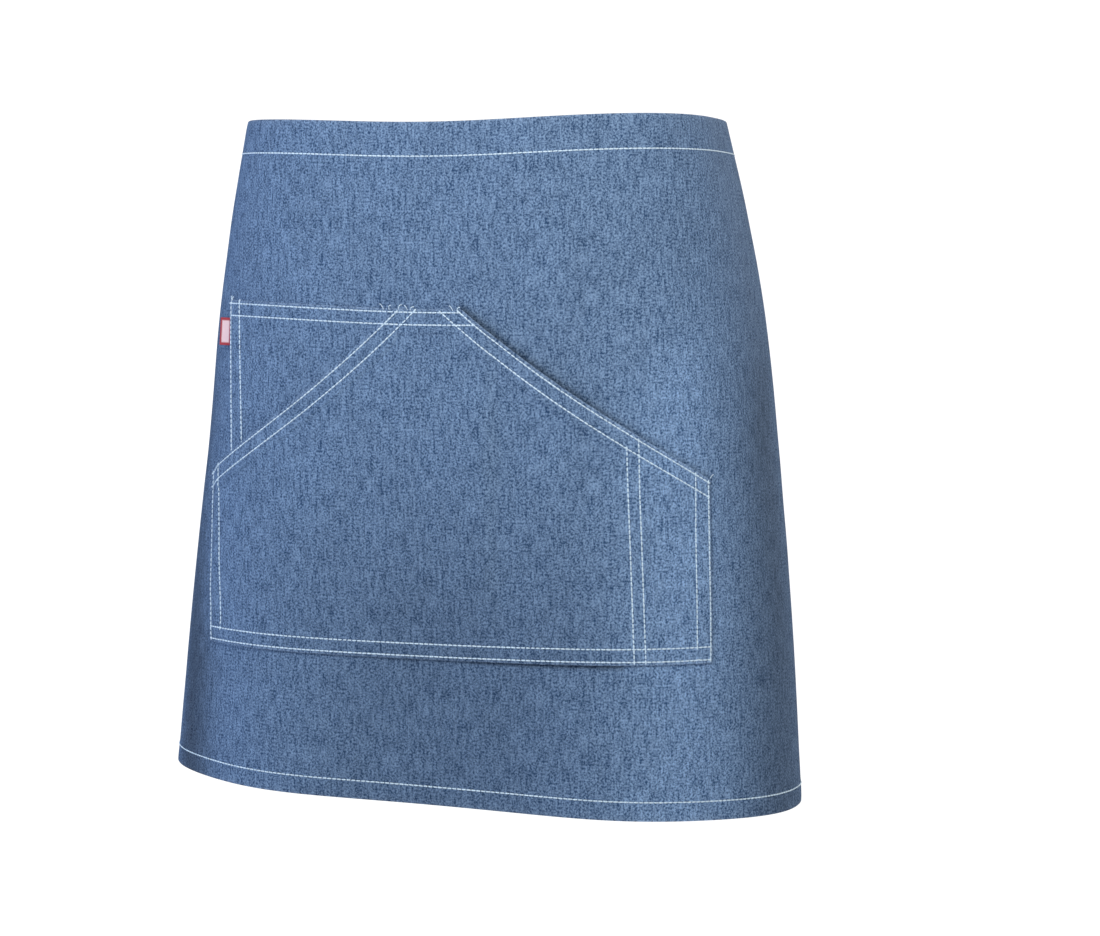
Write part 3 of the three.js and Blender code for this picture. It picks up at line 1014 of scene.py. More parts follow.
    def sew(self, name: str, rows: Sequence[StitchRow]) -> Piece:
        """Returns a dressed piece with all stitches of several rows.

        Args:
            name: Name of the piece.
            rows: The rows to sew.
        """
        counts = [len(row.points) for row in rows]
        starts = [sum(counts[:i]) for i in range(len(counts))]
        edges = [(s + i, s + i + 1) for s, n in zip(starts, counts) for i in range(n - 1)]
        mesh = bpy.data.meshes.new(name + "_rows")
        mesh.from_pydata(np.vstack([row.points for row in rows]).tolist(), edges, [])
        outward = np.vstack([row.outward for row in rows]).astype(np.float32)
        attribute = mesh.attributes.new("outward", "FLOAT_VECTOR", "POINT")
        attribute.data.foreach_set("vector", outward.ravel())
        guide = bpy.data.objects.new(name + "_rows", mesh)
        bpy.context.scene.collection.objects.link(guide)
        modifier = guide.modifiers.new("stitches", "NODES")
        modifier.node_group = self.tree
        chosen = {
            "Pitch": self.pitch,
            "Stitch Length": self.length,
            "Thickness": self.thickness,
            "Seed": self.seed,
            "Thread": self.thread,
        }
        for item in self.tree.interface.items_tree:
            if item.item_type == "SOCKET" and item.in_out == "INPUT" and item.name in chosen:
                modifier[item.identifier] = chosen[item.name]
        guide.update_tag()
        bpy.context.view_layer.update()
        graph = bpy.context.evaluated_depsgraph_get()
        sewn = bpy.data.meshes.new_from_object(guide.evaluated_get(graph))
        bpy.data.objects.remove(guide)
        sewn.name = name
        piece = bpy.data.objects.new(name, sewn)
        bpy.context.scene.collection.objects.link(piece)
        dress(piece, self.thread, "thread")
        return piece


def along_line(points: Sequence[tuple[float, float]], step: float = 2 * MM) -> Array:
    """Returns a line of cloth coordinates with points a short step apart."""
    line = np.asarray(points, float)
    lengths = np.linalg.norm(np.diff(line, axis=0), axis=1)
    arcs = np.concatenate([[0], np.cumsum(lengths)])
    even = np.linspace(0, arcs[-1], max(2, round(arcs[-1] / step)) + 1)
    return np.stack([np.interp(even, arcs, line[:, i]) for i in (0, 1)], 1)


@dataclass
class MainCloth:
    """The apron's panel, one sheet with its four edges folded in and stitched down."""

    form: WornForm
    finishes: Finishes
    stitcher: Stitcher
    step: float = 2.5 * MM
    row_step: float = 4.2 * MM
    settle_reach: float = 6 * MM
    ripples: tuple[Ripple, ...] = (
        Ripple(0.35 * MM, 38 * MM, 70 * MM, 21, shift=(11.3, 5.1)),
        Ripple(0.105 * MM, 15 * MM, 26 * MM, 22, shift=(3.3, 8.4)),
    )

    @property
    def half(self) -> float:
        """Half the panel's width along the cloth."""
        return float(self.form.half_loop(0.0)) - BACK_GAP / 2

    def seams(self) -> list[Seam]:
        """Returns the panel's stitched lines."""
        end = self.half - 1.5 * MM
        side = self.half - HEM_ROW
        return [
            Seam(((-end, WAIST_ROW), (end, WAIST_ROW)), pucker=0.14 * MM, seed=3),
            Seam(((-end, LENGTH - HEM_ROW), (end, LENGTH - HEM_ROW)), pucker=0.14 * MM, seed=5),
            Seam(((-side, CASING_DEPTH), (-side, LENGTH - HEM_DEPTH)), seed=7),
            Seam(((side, CASING_DEPTH), (side, LENGTH - HEM_DEPTH)), seed=8),
        ]

    def _inset(self, u: Array, v: Array) -> Array:
        """Returns each point's distance from the nearest folded edge."""
        return np.minimum(self.half - np.abs(u), np.minimum(v, LENGTH - v))

    def _turned(self, u: Array, v: Array) -> Array:
        """Returns 1 where the cloth is turned in and double, and 0 elsewhere."""
        turned = (v < CASING_DEPTH) | (LENGTH - v < HEM_DEPTH) | (self.half - np.abs(u) < SIDE_DEPTH)
        return turned.astype(float)

    def surface(self, u: Array, v: Array) -> Array:
        """Returns how far out the outer face lies."""
        out = CLOTH - FOLD_NOSE + fold_height(self._inset(u, v), FOLD_NOSE)
        settled = ease(self._inset(u, v) / self.settle_reach)
        waves = sum(ripple.at(u, v) for ripple in self.ripples)
        print_through = 0.12 * MM * self._turned(u, v)
        return out + settled * (waves + relief_of(self.seams(), u, v) + print_through)

    def _outer(self, u: Array, v: Array) -> Array:
        """Returns the outer face's points."""
        return self.form.place(u, v, self.surface(u, v))

    def _inner(self, u: Array, v: Array) -> Array:
        """Returns the inner face's points."""
        folded = CLOTH - FOLD_NOSE - fold_height(self._inset(u, v), FOLD_NOSE)
        plain = np.minimum(self.surface(u, v) - CLOTH, 0.4 * MM)
        return self.form.place(u, v, np.where(self._turned(u, v) > 0, folded, plain))

    def rows(self) -> list[StitchRow]:
        """Returns the panel's stitch rows, on both faces."""
        end = self.half - 2 * MM
        side = self.half - HEM_ROW
        lines = [
            [(-end, WAIST_ROW), (end, WAIST_ROW)],
            [(-end, LENGTH - HEM_ROW), (end, LENGTH - HEM_ROW)],
            [(-side, CASING_DEPTH), (-side, LENGTH - 2 * MM)],
            [(side, CASING_DEPTH), (side, LENGTH - 2 * MM)],
        ]
        found = []
        for line in lines:
            u, v = along_line(line).T
            outward = self.form.outward(u, v)
            found.append(StitchRow(self.form.place(u, v, self.surface(u, v) + STITCH_LIFT), outward))
            inside = -(CLOTH + FOLD_SEAT + 0.08 * MM)
            found.append(StitchRow(self.form.place(u, v, inside), -outward))
        return found

    def build(self, pocket_edge: "FrontPocket") -> Piece:
        """Returns the dressed panel, after its stitches.

        Args:
            pocket_edge: The front pocket, beside whose edge the cloth is painted darker as that edge's
                shadow.
        """
        marks = [SIDE_DEPTH, HEM_ROW, 2 * self.half - SIDE_DEPTH, 2 * self.half - HEM_ROW]
        across = stations(2 * self.half, self.step, marks) - self.half
        downs = [WAIST_ROW, CASING_DEPTH + 0.5 * MM, LENGTH - HEM_ROW, LENGTH - HEM_DEPTH - 0.5 * MM]
        down = stations(LENGTH, self.row_step, downs)
        u, v = np.meshgrid(across, down, indexing="ij")
        wear = edge_wear(self._inset(u, v), 0.5)
        shell = ClothShell("apron_cloth", u, v, self._outer, self._inner)
        # Painted light and shade: the panel's painted highlight and shade, less a painted shadow beside the
        # front pocket's edge.
        painted_shading = painted_light_and_shade(u, v) - 0.6 * pocket_edge.painted_edge_shadow(u, v)
        piece = shell.build(wear, 1 - self._turned(u, v), painted_shading)
        dress(
            piece, self.finishes.denim, "denim",
            "apron_panel", "waist_casing", "hem_turn", "side_turn_left", "side_turn_right",
        )
        stitches = self.stitcher.sew("cloth_stitches", self.rows())
        2 * self.half
        return piece


def turned_pocket(a: Array, d: Array, turn: float = POCKET_TURN) -> tuple[Array, Array]:
    """Returns the patch's coordinates of points in the front pocket's slightly turned frame."""
    c, s = math.cos(turn), math.sin(turn)
    return a * c + d * s, d * c - a * s


@dataclass
class PatchPocket:
    """The back patch, whose hemmed top and left edge show above the front pocket."""

    form: WornForm
    finishes: Finishes
    stitcher: Stitcher
    width: float = 192 * MM
    height: float = 148 * MM
    offset: float = -64 * MM
    band: float = 13 * MM
    turn_depth: float = 14.5 * MM
    fullness: float = 0.2 * MM
    corner_start: float = 17 * MM
    corner_slope: float = 0.86
    lean: float = 0.065
    side_gap: float = 11.5 * MM
    step: float = 2.2 * MM
    settle_reach: float = 3 * MM
    ripple: Ripple = Ripple(0.2 * MM, 24 * MM, 40 * MM, 41, shift=(2.2, 1.7))

    @property
    def left(self) -> float:
        """The patch's edge on the wearer's right."""
        return self.offset - self.width / 2

    @property
    def right(self) -> float:
        """The patch's edge on the wearer's left, under the front pocket."""
        return self.offset + self.width / 2

    def _top(self, a: Array) -> Array:
        """Returns how far down the top edge lies, with its covered corner folded away."""
        return np.maximum(0, (a - self.corner_start) * self.corner_slope)

    def edge(self, d: Array) -> Array:
        """Returns where the seen side edge lies, which leans inwards on its way down."""
        return self.left + self.lean * d

    def _inset(self, a: Array, d: Array) -> Array:
        """Returns each point's distance from the nearest edge."""
        sides = np.minimum(a - self.edge(d), self.right - a)
        return np.maximum(0, np.minimum(sides, np.minimum(d - self._top(a), self.height - d)))

    def seams(self) -> list[Seam]:
        """Returns the patch's stitched lines."""
        left, low, bottom = self.left, self.height, self.edge(self.height)
        tops = (ROW_INSET, ROW_INSET + ROW_GAP)
        sides = (ROW_INSET, ROW_INSET + self.side_gap)
        return [
            *[Seam(((left, v), (self.right, v)), seed=31 + i) for i, v in enumerate(tops)],
            *[Seam(((left + u, 0), (bottom + u, low)), seed=33 + i) for i, u in enumerate(sides)],
        ]

    def _thickness(self, a: Array, d: Array) -> Array:
        """Returns the patch's thickness, double where its edges are turned in."""
        inset = self._inset(a, d)
        turned = np.maximum(
            1 - ease((inset - self.turn_depth) / (1.5 * MM)),
            1 - ease((d - self._top(a) - self.band) / (1.0 * MM)),
        )
        return CLOTH + turned * TURN_RISE

    def surface(self, a: Array, d: Array) -> Array:
        """Returns how far out the outer face lies."""
        thick = self._thickness(a, d)
        inset = self._inset(a, d)
        rounded = POCKET_SEAT + thick / 2 + round_edge(inset) * thick / 2
        relief = relief_of(self.seams(), a, d) + self.ripple.at(a, d) + self.fullness
        return rounded + ease(inset / self.settle_reach) * relief

    def _outer(self, a: Array, d: Array) -> Array:
        """Returns the outer face's points."""
        return self.form.place(a, POCKET_BELOW_WAIST + d, self.surface(a, d))

    def _inner(self, a: Array, d: Array) -> Array:
        """Returns the inner face's points."""
        thick = self._thickness(a, d)
        rounded = POCKET_SEAT + thick / 2 - round_edge(self._inset(a, d)) * thick / 2
        return self.form.place(a, POCKET_BELOW_WAIST + d, rounded)

    def rows(self, front: "FrontPocket") -> list[StitchRow]:
        """Returns the patch's stitch rows, which run on across the front pocket's flat top."""
        found = []
        for inset in (ROW_INSET, ROW_INSET + ROW_GAP):
            end = front.mouth_across(inset, Side.LEFT) - 4.5 * MM
            u, v = along_line([(self.left + 0.5 * MM, inset), (end, inset)]).T
            out = np.maximum(self.surface(u, v), front.out_over_patch(u, v)) + STITCH_LIFT
            found.append(self._row(u, v, out))
        for inset, top in ((ROW_INSET, -1 * MM), (ROW_INSET + self.side_gap, 1 * MM)):
            low = self.height - 2 * MM
            u, v = along_line([(self.left + inset, top), (self.edge(low) + inset, low)]).T
            seen = v < np.array([front.mouth_height(place) for place in u]) - 0.5 * MM
            found.append(self._row(u[seen], v[seen], self.surface(u[seen], v[seen]) + STITCH_LIFT))
        return found

    def _row(self, u: Array, v: Array, out: Array) -> StitchRow:
        """Returns a row of stitches at cloth places of the patch."""
        down = POCKET_BELOW_WAIST + v
        return StitchRow(self.form.place(u, down, out), self.form.outward(u, down))

    def build(self, front: "FrontPocket") -> Piece:
        """Returns the dressed patch, after its stitches.

        Args:
            front: The front pocket, over which the patch's top rows run on.
        """
        near = [ROW_INSET, ROW_INSET + ROW_GAP]
        across = stations(self.width, self.step, [ROW_INSET, ROW_INSET + self.side_gap]) + self.left
        share = stations(self.height, self.step, [*near, self.band])
        u, rows = np.meshgrid(across, share, indexing="ij")
        v = self._top(u) + rows * (self.height - self._top(u)) / self.height
        u = u + self.lean * v * (self.right - u) / self.width
        wear = edge_wear(self._inset(u, v), 0.55)
        shell = ClothShell("patch_pocket", u, v, self._outer, self._inner)
        # The panel's painted light and shade carry on over the patch.
        piece = shell.build(wear, np.ones_like(u), painted_light_and_shade(u, POCKET_BELOW_WAIST + v))
        dress(piece, self.finishes.denim, "denim", "upper_pocket")
        stitches = self.stitcher.sew("patch_stitches", self.rows(front))
        return piece


@dataclass
class FrontPocket:
    """The wide pocket with a flat top and two slanted mouths."""

    form: WornForm
    finishes: Finishes
    stitcher: Stitcher
    patch: PatchPocket
    width: float = 362 * MM
    height: float = 226 * MM
    flat_top: float = 44 * MM
    mouth_drop: float = 112 * MM
    band: float = 15 * MM
    sag_right: float = 10.5 * MM
    sag_left: float = 7 * MM
    gape: float = 1.8 * MM
    gape_reach: float = 45 * MM
    divider_top: float = 124.7 * MM
    divider_low: float = 128.6 * MM
    divider_gap: float = 7.2 * MM
    side_gap_right: float = 12.5 * MM
    side_gap_left: float = 9.7 * MM
    left_row_inset: float = 1.5 * MM
    taper: float = 0.028
    taper_start: float = 95 * MM
    taper_reach: float = 110 * MM
    turn_depth: float = 13 * MM
    gape_right: float = 0.35
    gape_left: float = 1.6
    lift_start: float = 4 * MM
    lift_reach: float = 12 * MM
    lift_below: float = 0.22
    fullness: float = 0.2 * MM
    pad_rise: float = 0.25 * MM
    pad_start: float = 11 * MM
    pad_reach: float = 12 * MM
    hem_sink: float = 0.5 * MM
    hem_reach: float = 9 * MM
    step: float = 2.2 * MM
    settle_reach: float = 3 * MM
    ripple: Ripple = Ripple(0.3 * MM, 30 * MM, 45 * MM, 61, shift=(7.2, 3.7))

    def _on_patch(self, a: Array, d: Array) -> tuple[Array, Array]:
        """Returns patch coordinates of the pocket's points, drawn in at its low right side."""
        share = ease((d - self.taper_start) / self.taper_reach)
        drawn = np.where(a < 0, 1 - self.taper * share, 1.0)
        return turned_pocket(a * drawn, d)

    def _share(self, a: Array) -> Array:
        """Returns how far along its mouth a point lies, from 0 at the flat top to 1."""
        reach = (self.width - self.flat_top) / 2
        return np.clip((np.abs(a) - self.flat_top / 2) / reach, 0, 1)

    def mouth(self, a: Array) -> Array:
        """Returns how far down the top edge lies."""
        t = self._share(a)
        sag = np.where(a < 0, self.sag_right, self.sag_left)
        return self.mouth_drop * t + sag * 4 * t * (1 - t)

    def _slope(self, a: Array) -> Array:
        """Returns the cosine of the top edge's slope."""
        step = 0.5 * MM
        rise = (self.mouth(a + step) - self.mouth(a - step)) / (2 * step)
        return 1 / np.sqrt(1 + rise**2)

    def mouth_across(self, down: float, side: Side) -> float:
        """Returns where the mouth's edge is a given distance below the patch's top edge."""
        a = np.linspace(0, self.width / 2, 400)
        across, height = turned_pocket(side.value * a, self.mouth(side.value * a))
        return float(across[int(np.argmax(height > down))])

    def mouth_height(self, across: float) -> float:
        """Returns how far down the mouth's edge lies at a place across the patch."""
        a = np.linspace(-self.width / 2, self.width / 2, 800)
        u, v = turned_pocket(a, self.mouth(a))
        return float(np.interp(across, u, v))

    def _inset(self, a: Array, d: Array) -> Array:
        """Returns each point's distance from the nearest edge."""
        top = (d - self.mouth(a)) * self._slope(a)
        sides = self.width / 2 - np.abs(a)
        return np.maximum(0, np.minimum(top, np.minimum(sides, self.height - d)))

    def _line(self, inset: float, side: Side) -> Array:
        """Returns a stitched line that runs beside a mouth, in the pocket's frame."""
        t = np.linspace(-0.1, 1.1, 60)
        a = self.flat_top / 2 + t * (self.width - self.flat_top) / 2
        sag = self.sag_right if side is Side.RIGHT else self.sag_left
        d = self.mouth_drop * t + sag * 4 * t * (1 - t)
        along = np.gradient(np.stack([a, d], 1), axis=0)
        along /= np.linalg.norm(along, axis=1, keepdims=True)
        a, d = a - along[:, 1] * inset, d + along[:, 0] * inset
        clear = (a < self.width / 2 - 0.8 * MM) & (d > -0.2 * MM) & (a > 0)
        return np.stack([side.value * a[clear], d[clear]], 1)

    def lines(self) -> list[Array]:
        """Returns every stitched line of the pocket, in its own frame."""
        half, low = self.width / 2, self.height
        near, far = ROW_INSET, ROW_INSET + ROW_GAP
        found = [self._line(inset, side) for side in Side for inset in (near, far)]
        for side in Side:
            gap = self.side_gap_right if side is Side.RIGHT else self.side_gap_left
            first = near if side is Side.RIGHT else self.left_row_inset
            for inset, end in ((first, near), (first + gap, far)):
                a = side.value * (half - inset)
                top = float(self.mouth(np.array(a))) + near
                found.append(np.array([(a, top), (a, low - end)]))
        for inset in (near, far):
            found.append(np.array([(-half + near, low - inset), (half - near, low - inset)]))
        for shift, inset in ((0.0, far), (self.divider_gap, near)):
            a = self.divider_top + shift
            top = float(self.mouth(np.array(a)) + inset / self._slope(np.array(a)))
            found.append(np.array([(a, top), (self.divider_low + shift, low - near)]))
        return found

    def seams(self) -> list[Seam]:
        """Returns the stitched lines with their relief."""
        return [
            Seam(tuple(map(tuple, line)), pucker=0.13 * MM, seed=50 + i)
            for i, line in enumerate(self.lines())
        ]

    def _thickness(self, a: Array, d: Array) -> Array:
        """Returns the pocket's thickness, double in its bands and turned edges."""
        top = (d - self.mouth(a)) * self._slope(a)
        sides = np.minimum(self.width / 2 - np.abs(a), self.height - d)
        turned = np.maximum(
            1 - ease((top - self.band) / (1.2 * MM)),
            1 - ease((sides - self.turn_depth) / (1.5 * MM)),
        )
        return CLOTH + turned * TURN_RISE

    def _base(self, a: Array, d: Array) -> Array:
        """Returns how far out the inner face lies, over the patch and at the open mouths."""
        u, v = self._on_patch(a, d)
        zero = np.zeros_like(u)
        below_patch = self.lift_below * (v - self.patch.height)
        beside = np.maximum.reduce([self.patch.left - u, u - self.patch.right, below_patch, zero])
        covered = 1 - ease((beside - self.lift_start) / self.lift_reach)
        lift = (CLOTH + SEAT + TURN_RISE) * covered
        t = self._share(a)
        below = d - self.mouth(a)
        mouth = self.gape * np.where(a < 0, self.gape_right, self.gape_left) * 4 * t * (1 - t)
        return POCKET_SEAT + lift + mouth * (1 - ease(below / self.gape_reach))

    def surface(self, a: Array, d: Array) -> Array:
        """Returns how far out the outer face lies."""
        thick = self._thickness(a, d)
        inset = self._inset(a, d)
        rounded = self._base(a, d) + thick / 2 + round_edge(inset) * thick / 2
        relief = relief_of(self.seams(), a, d) + self.ripple.at(a, d)
        pad = self.pad_rise * ease((inset - self.pad_start) / self.pad_reach)
        pad = pad - self.hem_sink * (1 - ease((self.height - d) / self.hem_reach))
        return rounded + ease(inset / self.settle_reach) * relief + pad + self.fullness

    def _outer(self, a: Array, d: Array) -> Array:
        """Returns the outer face's points."""
        u, v = self._on_patch(a, d)
        return self.form.place(u, POCKET_BELOW_WAIST + v, self.surface(a, d))

    def _inner(self, a: Array, d: Array) -> Array:
        """Returns the inner face's points."""
        thick = self._thickness(a, d)
        rounded = round_edge(self._inset(a, d)) * thick / 2
        u, v = self._on_patch(a, d)
        return self.form.place(u, POCKET_BELOW_WAIST + v, self._base(a, d) + thick / 2 - rounded)

    def out_over_patch(self, u: Array, v: Array) -> Array:
        """Returns how far out the outer face lies at places of the patch, or 0 beside the pocket."""
        a, d = turned_pocket(u, v, -POCKET_TURN)
        there = (d > self.mouth(a)) & (np.abs(a) < self.width / 2)
        return np.where(there, self.surface(a, d), 0)

    def painted_edge_shadow(self, across: Array, down: Array) -> Array:
        """Returns the painted shadow of the pocket's edge: 1 on the cloth just outside that edge on the
        wearer's left, else 0.

        Args:
            across: Distance along the cloth from the centre front.
            down: Distance below the top fold.
        """
        a, d = turned_pocket(across, down - POCKET_BELOW_WAIST, -POCKET_TURN)
        outside = np.maximum(a - self.width / 2, (self.mouth(a) - d) * self._slope(a))
        beside = np.exp(-((np.maximum(0, outside) / (2.0 * MM)) ** 2))
        return beside * (a > self.flat_top / 2) * (d < self.height)

    def rows(self) -> list[StitchRow]:
        """Returns the pocket's stitch rows."""
        found = []
        for line in self.lines():
            a, d = along_line(line).T
            u, v = self._on_patch(a, d)
            out = self.surface(a, d) + STITCH_LIFT
            down = POCKET_BELOW_WAIST + v
            found.append(StitchRow(self.form.place(u, down, out), self.form.outward(u, down)))
        return found

    def build(self) -> Piece:
        """Returns the dressed pocket, after its stitches."""
        near = [ROW_INSET, ROW_INSET + ROW_GAP]
        half = self.width / 2
        sides = [
            ROW_INSET, ROW_INSET + self.side_gap_right,
            self.width - ROW_INSET, self.width - ROW_INSET - self.side_gap_left,
        ]
        middle = half + (self.divider_top + self.divider_low) / 2
        across = stations(self.width, self.step, [*sides, middle, middle + self.divider_gap]) - half
        low = [self.height - mark for mark in near]
        depth = stations(self.height, self.step, [*near, self.band, *low])
        a, rows = np.meshgrid(across, depth, indexing="ij")
        top = self.mouth(a)
        d = top + rows * (self.height - top) / self.height
        stretch = 1 / self._slope(a)
        banded = top + rows * stretch
        blend = ease((rows - self.band) / (self.height * 0.55 - self.band))
        d = banded * (1 - blend) + d * blend
        close = ease((rows - self.height * 0.55) / (self.height * 0.35))
        d = d * (1 - close) + np.maximum(rows, d) * close
        wear = edge_wear(self._inset(a, d), 0.55)
        across, down = self._on_patch(a, d)
        shell = ClothShell("front_pocket_cloth", a, d, self._outer, self._inner)
        # The panel's painted light and shade carry on over the front pocket.
        piece = shell.build(wear, np.ones_like(a), painted_light_and_shade(across, POCKET_BELOW_WAIST + down))
        dress(piece, self.finishes.denim, "denim", "front_pocket")
        stitches = self.stitcher.sew("front_pocket_stitches", self.rows())
        return piece


@dataclass(frozen=True)
class LooseEnd:
    """A cut thread end, in the patch's coordinates.

    Attributes:
        across: Where it leaves the cloth.
        down: Where it leaves the cloth.
        rise: How far it reaches up.
        lean: How far it leans towards the wearer's left.
        away: How far its tip stands out.
    """

    across: float
    down: float
    rise: float
    lean: float
    away: float


@dataclass
class ThreadEnds:
    """The short thread ends that stick out where rows end."""

    form: WornForm
    finishes: Finishes
    patch: PatchPocket
    front: FrontPocket
    radius: float = 0.26 * MM
    sides: int = 6
    steps: int = 9
    ends: tuple[LooseEnd, ...] = (
        LooseEnd(-30 * MM, 1.0 * MM, 4.4 * MM, -2.2 * MM, 1.5 * MM),
        LooseEnd(-26 * MM, 1.0 * MM, 3.6 * MM, 1.6 * MM, 2.2 * MM),
        LooseEnd(-19 * MM, 0.8 * MM, 4.0 * MM, 2.4 * MM, 1.2 * MM),
        LooseEnd(-13 * MM, 0.8 * MM, 3.4 * MM, -1.6 * MM, 1.8 * MM),
        LooseEnd(-11 * MM, 1.0 * MM, 2.8 * MM, 2.6 * MM, 1.4 * MM),
        LooseEnd(17 * MM, 1.0 * MM, 3.8 * MM, -2.0 * MM, 1.6 * MM),
        LooseEnd(20 * MM, 1.2 * MM, 3.0 * MM, 2.2 * MM, 1.2 * MM),
        LooseEnd(-157 * MM, 0.8 * MM, 4.2 * MM, 1.2 * MM, 0.8 * MM),
        LooseEnd(184 * MM, 108 * MM, 3.0 * MM, 1.8 * MM, 1.2 * MM),
        LooseEnd(172 * MM, 221 * MM, 1.4 * MM, 4.2 * MM, 0.4 * MM),
    )

    def _path(self, end: LooseEnd, share: Array) -> Array:
        """Returns the points that a thread end follows, which curls over at its tip."""
        across = end.across + end.lean * share**1.6
        down = end.down - end.rise * np.sin(share * 1.7) / math.sin(1.7) * 0.8
        start = np.array(end.across), np.array(end.down)
        under = max(float(self.front.out_over_patch(*start)), float(self.patch.surface(*start)))
        out = under - 0.1 * MM + end.away * np.sin(share * 2.4)
        return self.form.place(across, POCKET_BELOW_WAIST + down, out)

    def build(self) -> Piece:
        """Returns the dressed thread ends, all in one piece."""
        share = np.linspace(0, 1, self.steps)
        turns = np.linspace(0, math.tau, self.sides + 1)[:-1]
        points, faces = [], []
        for end in self.ends:
            path = self._path(end, share)
            along = np.gradient(path, axis=0)
            along /= np.linalg.norm(along, axis=1, keepdims=True)
            side = np.cross(along, (0.0, -0.6, 0.8))
            side /= np.linalg.norm(side, axis=1, keepdims=True)
            up = np.cross(side, along)
            ring = np.cos(turns)[None, :, None] * side[:, None] + np.sin(turns)[None, :, None] * up[:, None]
            first = len(points)
            points.extend((path[:, None] + self.radius * ring).reshape(-1, 3).tolist())
            for i in range(self.steps - 1):
                for j in range(self.sides):
                    a, b = first + i * self.sides + j, first + i * self.sides + (j + 1) % self.sides
                    faces.append((a, b, b + self.sides, a + self.sides))
            last = first + (self.steps - 1) * self.sides
            faces.append([first + j for j in reversed(range(self.sides))])
            faces.append([last + j for j in range(self.sides)])
        piece = make_piece("thread_ends", np.array(points), faces)
        add_field(piece, "lay", np.arange(len(points)) // self.sides * 0.4)
        dress(piece, self.finishes.thread, "thread")
        return piece


@dataclass
class SideLabel:
    """A small folded tape in the patch's seam, plain, with a pale field and no words."""

    form: WornForm
    finishes: Finishes
    patch: PatchPocket
    reach: float = 11 * MM
    height: float = 18.5 * MM
    below_top: float = 12 * MM
    thickness: float = 0.9 * MM
    border: float = 1.6 * MM
    stand: float = 3.2 * MM
    edge_radius: float = 0.35 * MM
    step: float = 0.6 * MM

    def build(self) -> Piece:
        """Returns the dressed label."""
        seam = float(self.patch.edge(self.below_top + self.height / 2)) + 0.4 * MM
        across = stations(self.reach, self.step) + seam - self.reach
        down = stations(self.height, self.step) + self.below_top
        u, v = np.meshgrid(across, down, indexing="ij")
        low, high = self.below_top, self.below_top + self.height
        inset = np.maximum(0, np.minimum(u - across[0], np.minimum(v - low, high - v)))
        inset = np.minimum(inset, across[-1] - u + 0.4 * MM)
        nose = round_edge(inset, self.edge_radius) * self.thickness / 2
        lift = CLOTH + self.thickness / 2 + 0.15 * MM
        lift = lift + self.stand * ((across[-1] - u) / self.reach) ** 1.4

        def face(sign: float) -> PointField:
            """Returns the points of one face."""
            return lambda a, d: self.form.place(a, POCKET_BELOW_WAIST + d, lift + sign * nose)

        shell = ClothShell("label_tape", u, v, face(1), face(-1))
        piece = shell.build(np.zeros_like(u), np.zeros_like(u))
        from_edge = np.minimum(np.minimum(u - across[0], across[-1] - u), np.minimum(v - low, high - v))
        pale = ease((from_edge - self.border) / (0.5 * MM))
        inner = np.zeros(u.shape, bool)
        inner[1:-1, 1:-1] = True
        add_field(piece, "field", np.concatenate([pale.ravel(), pale[inner]]))
        dress(piece, self.finishes.tape, "label", "label_tab")
        return piece


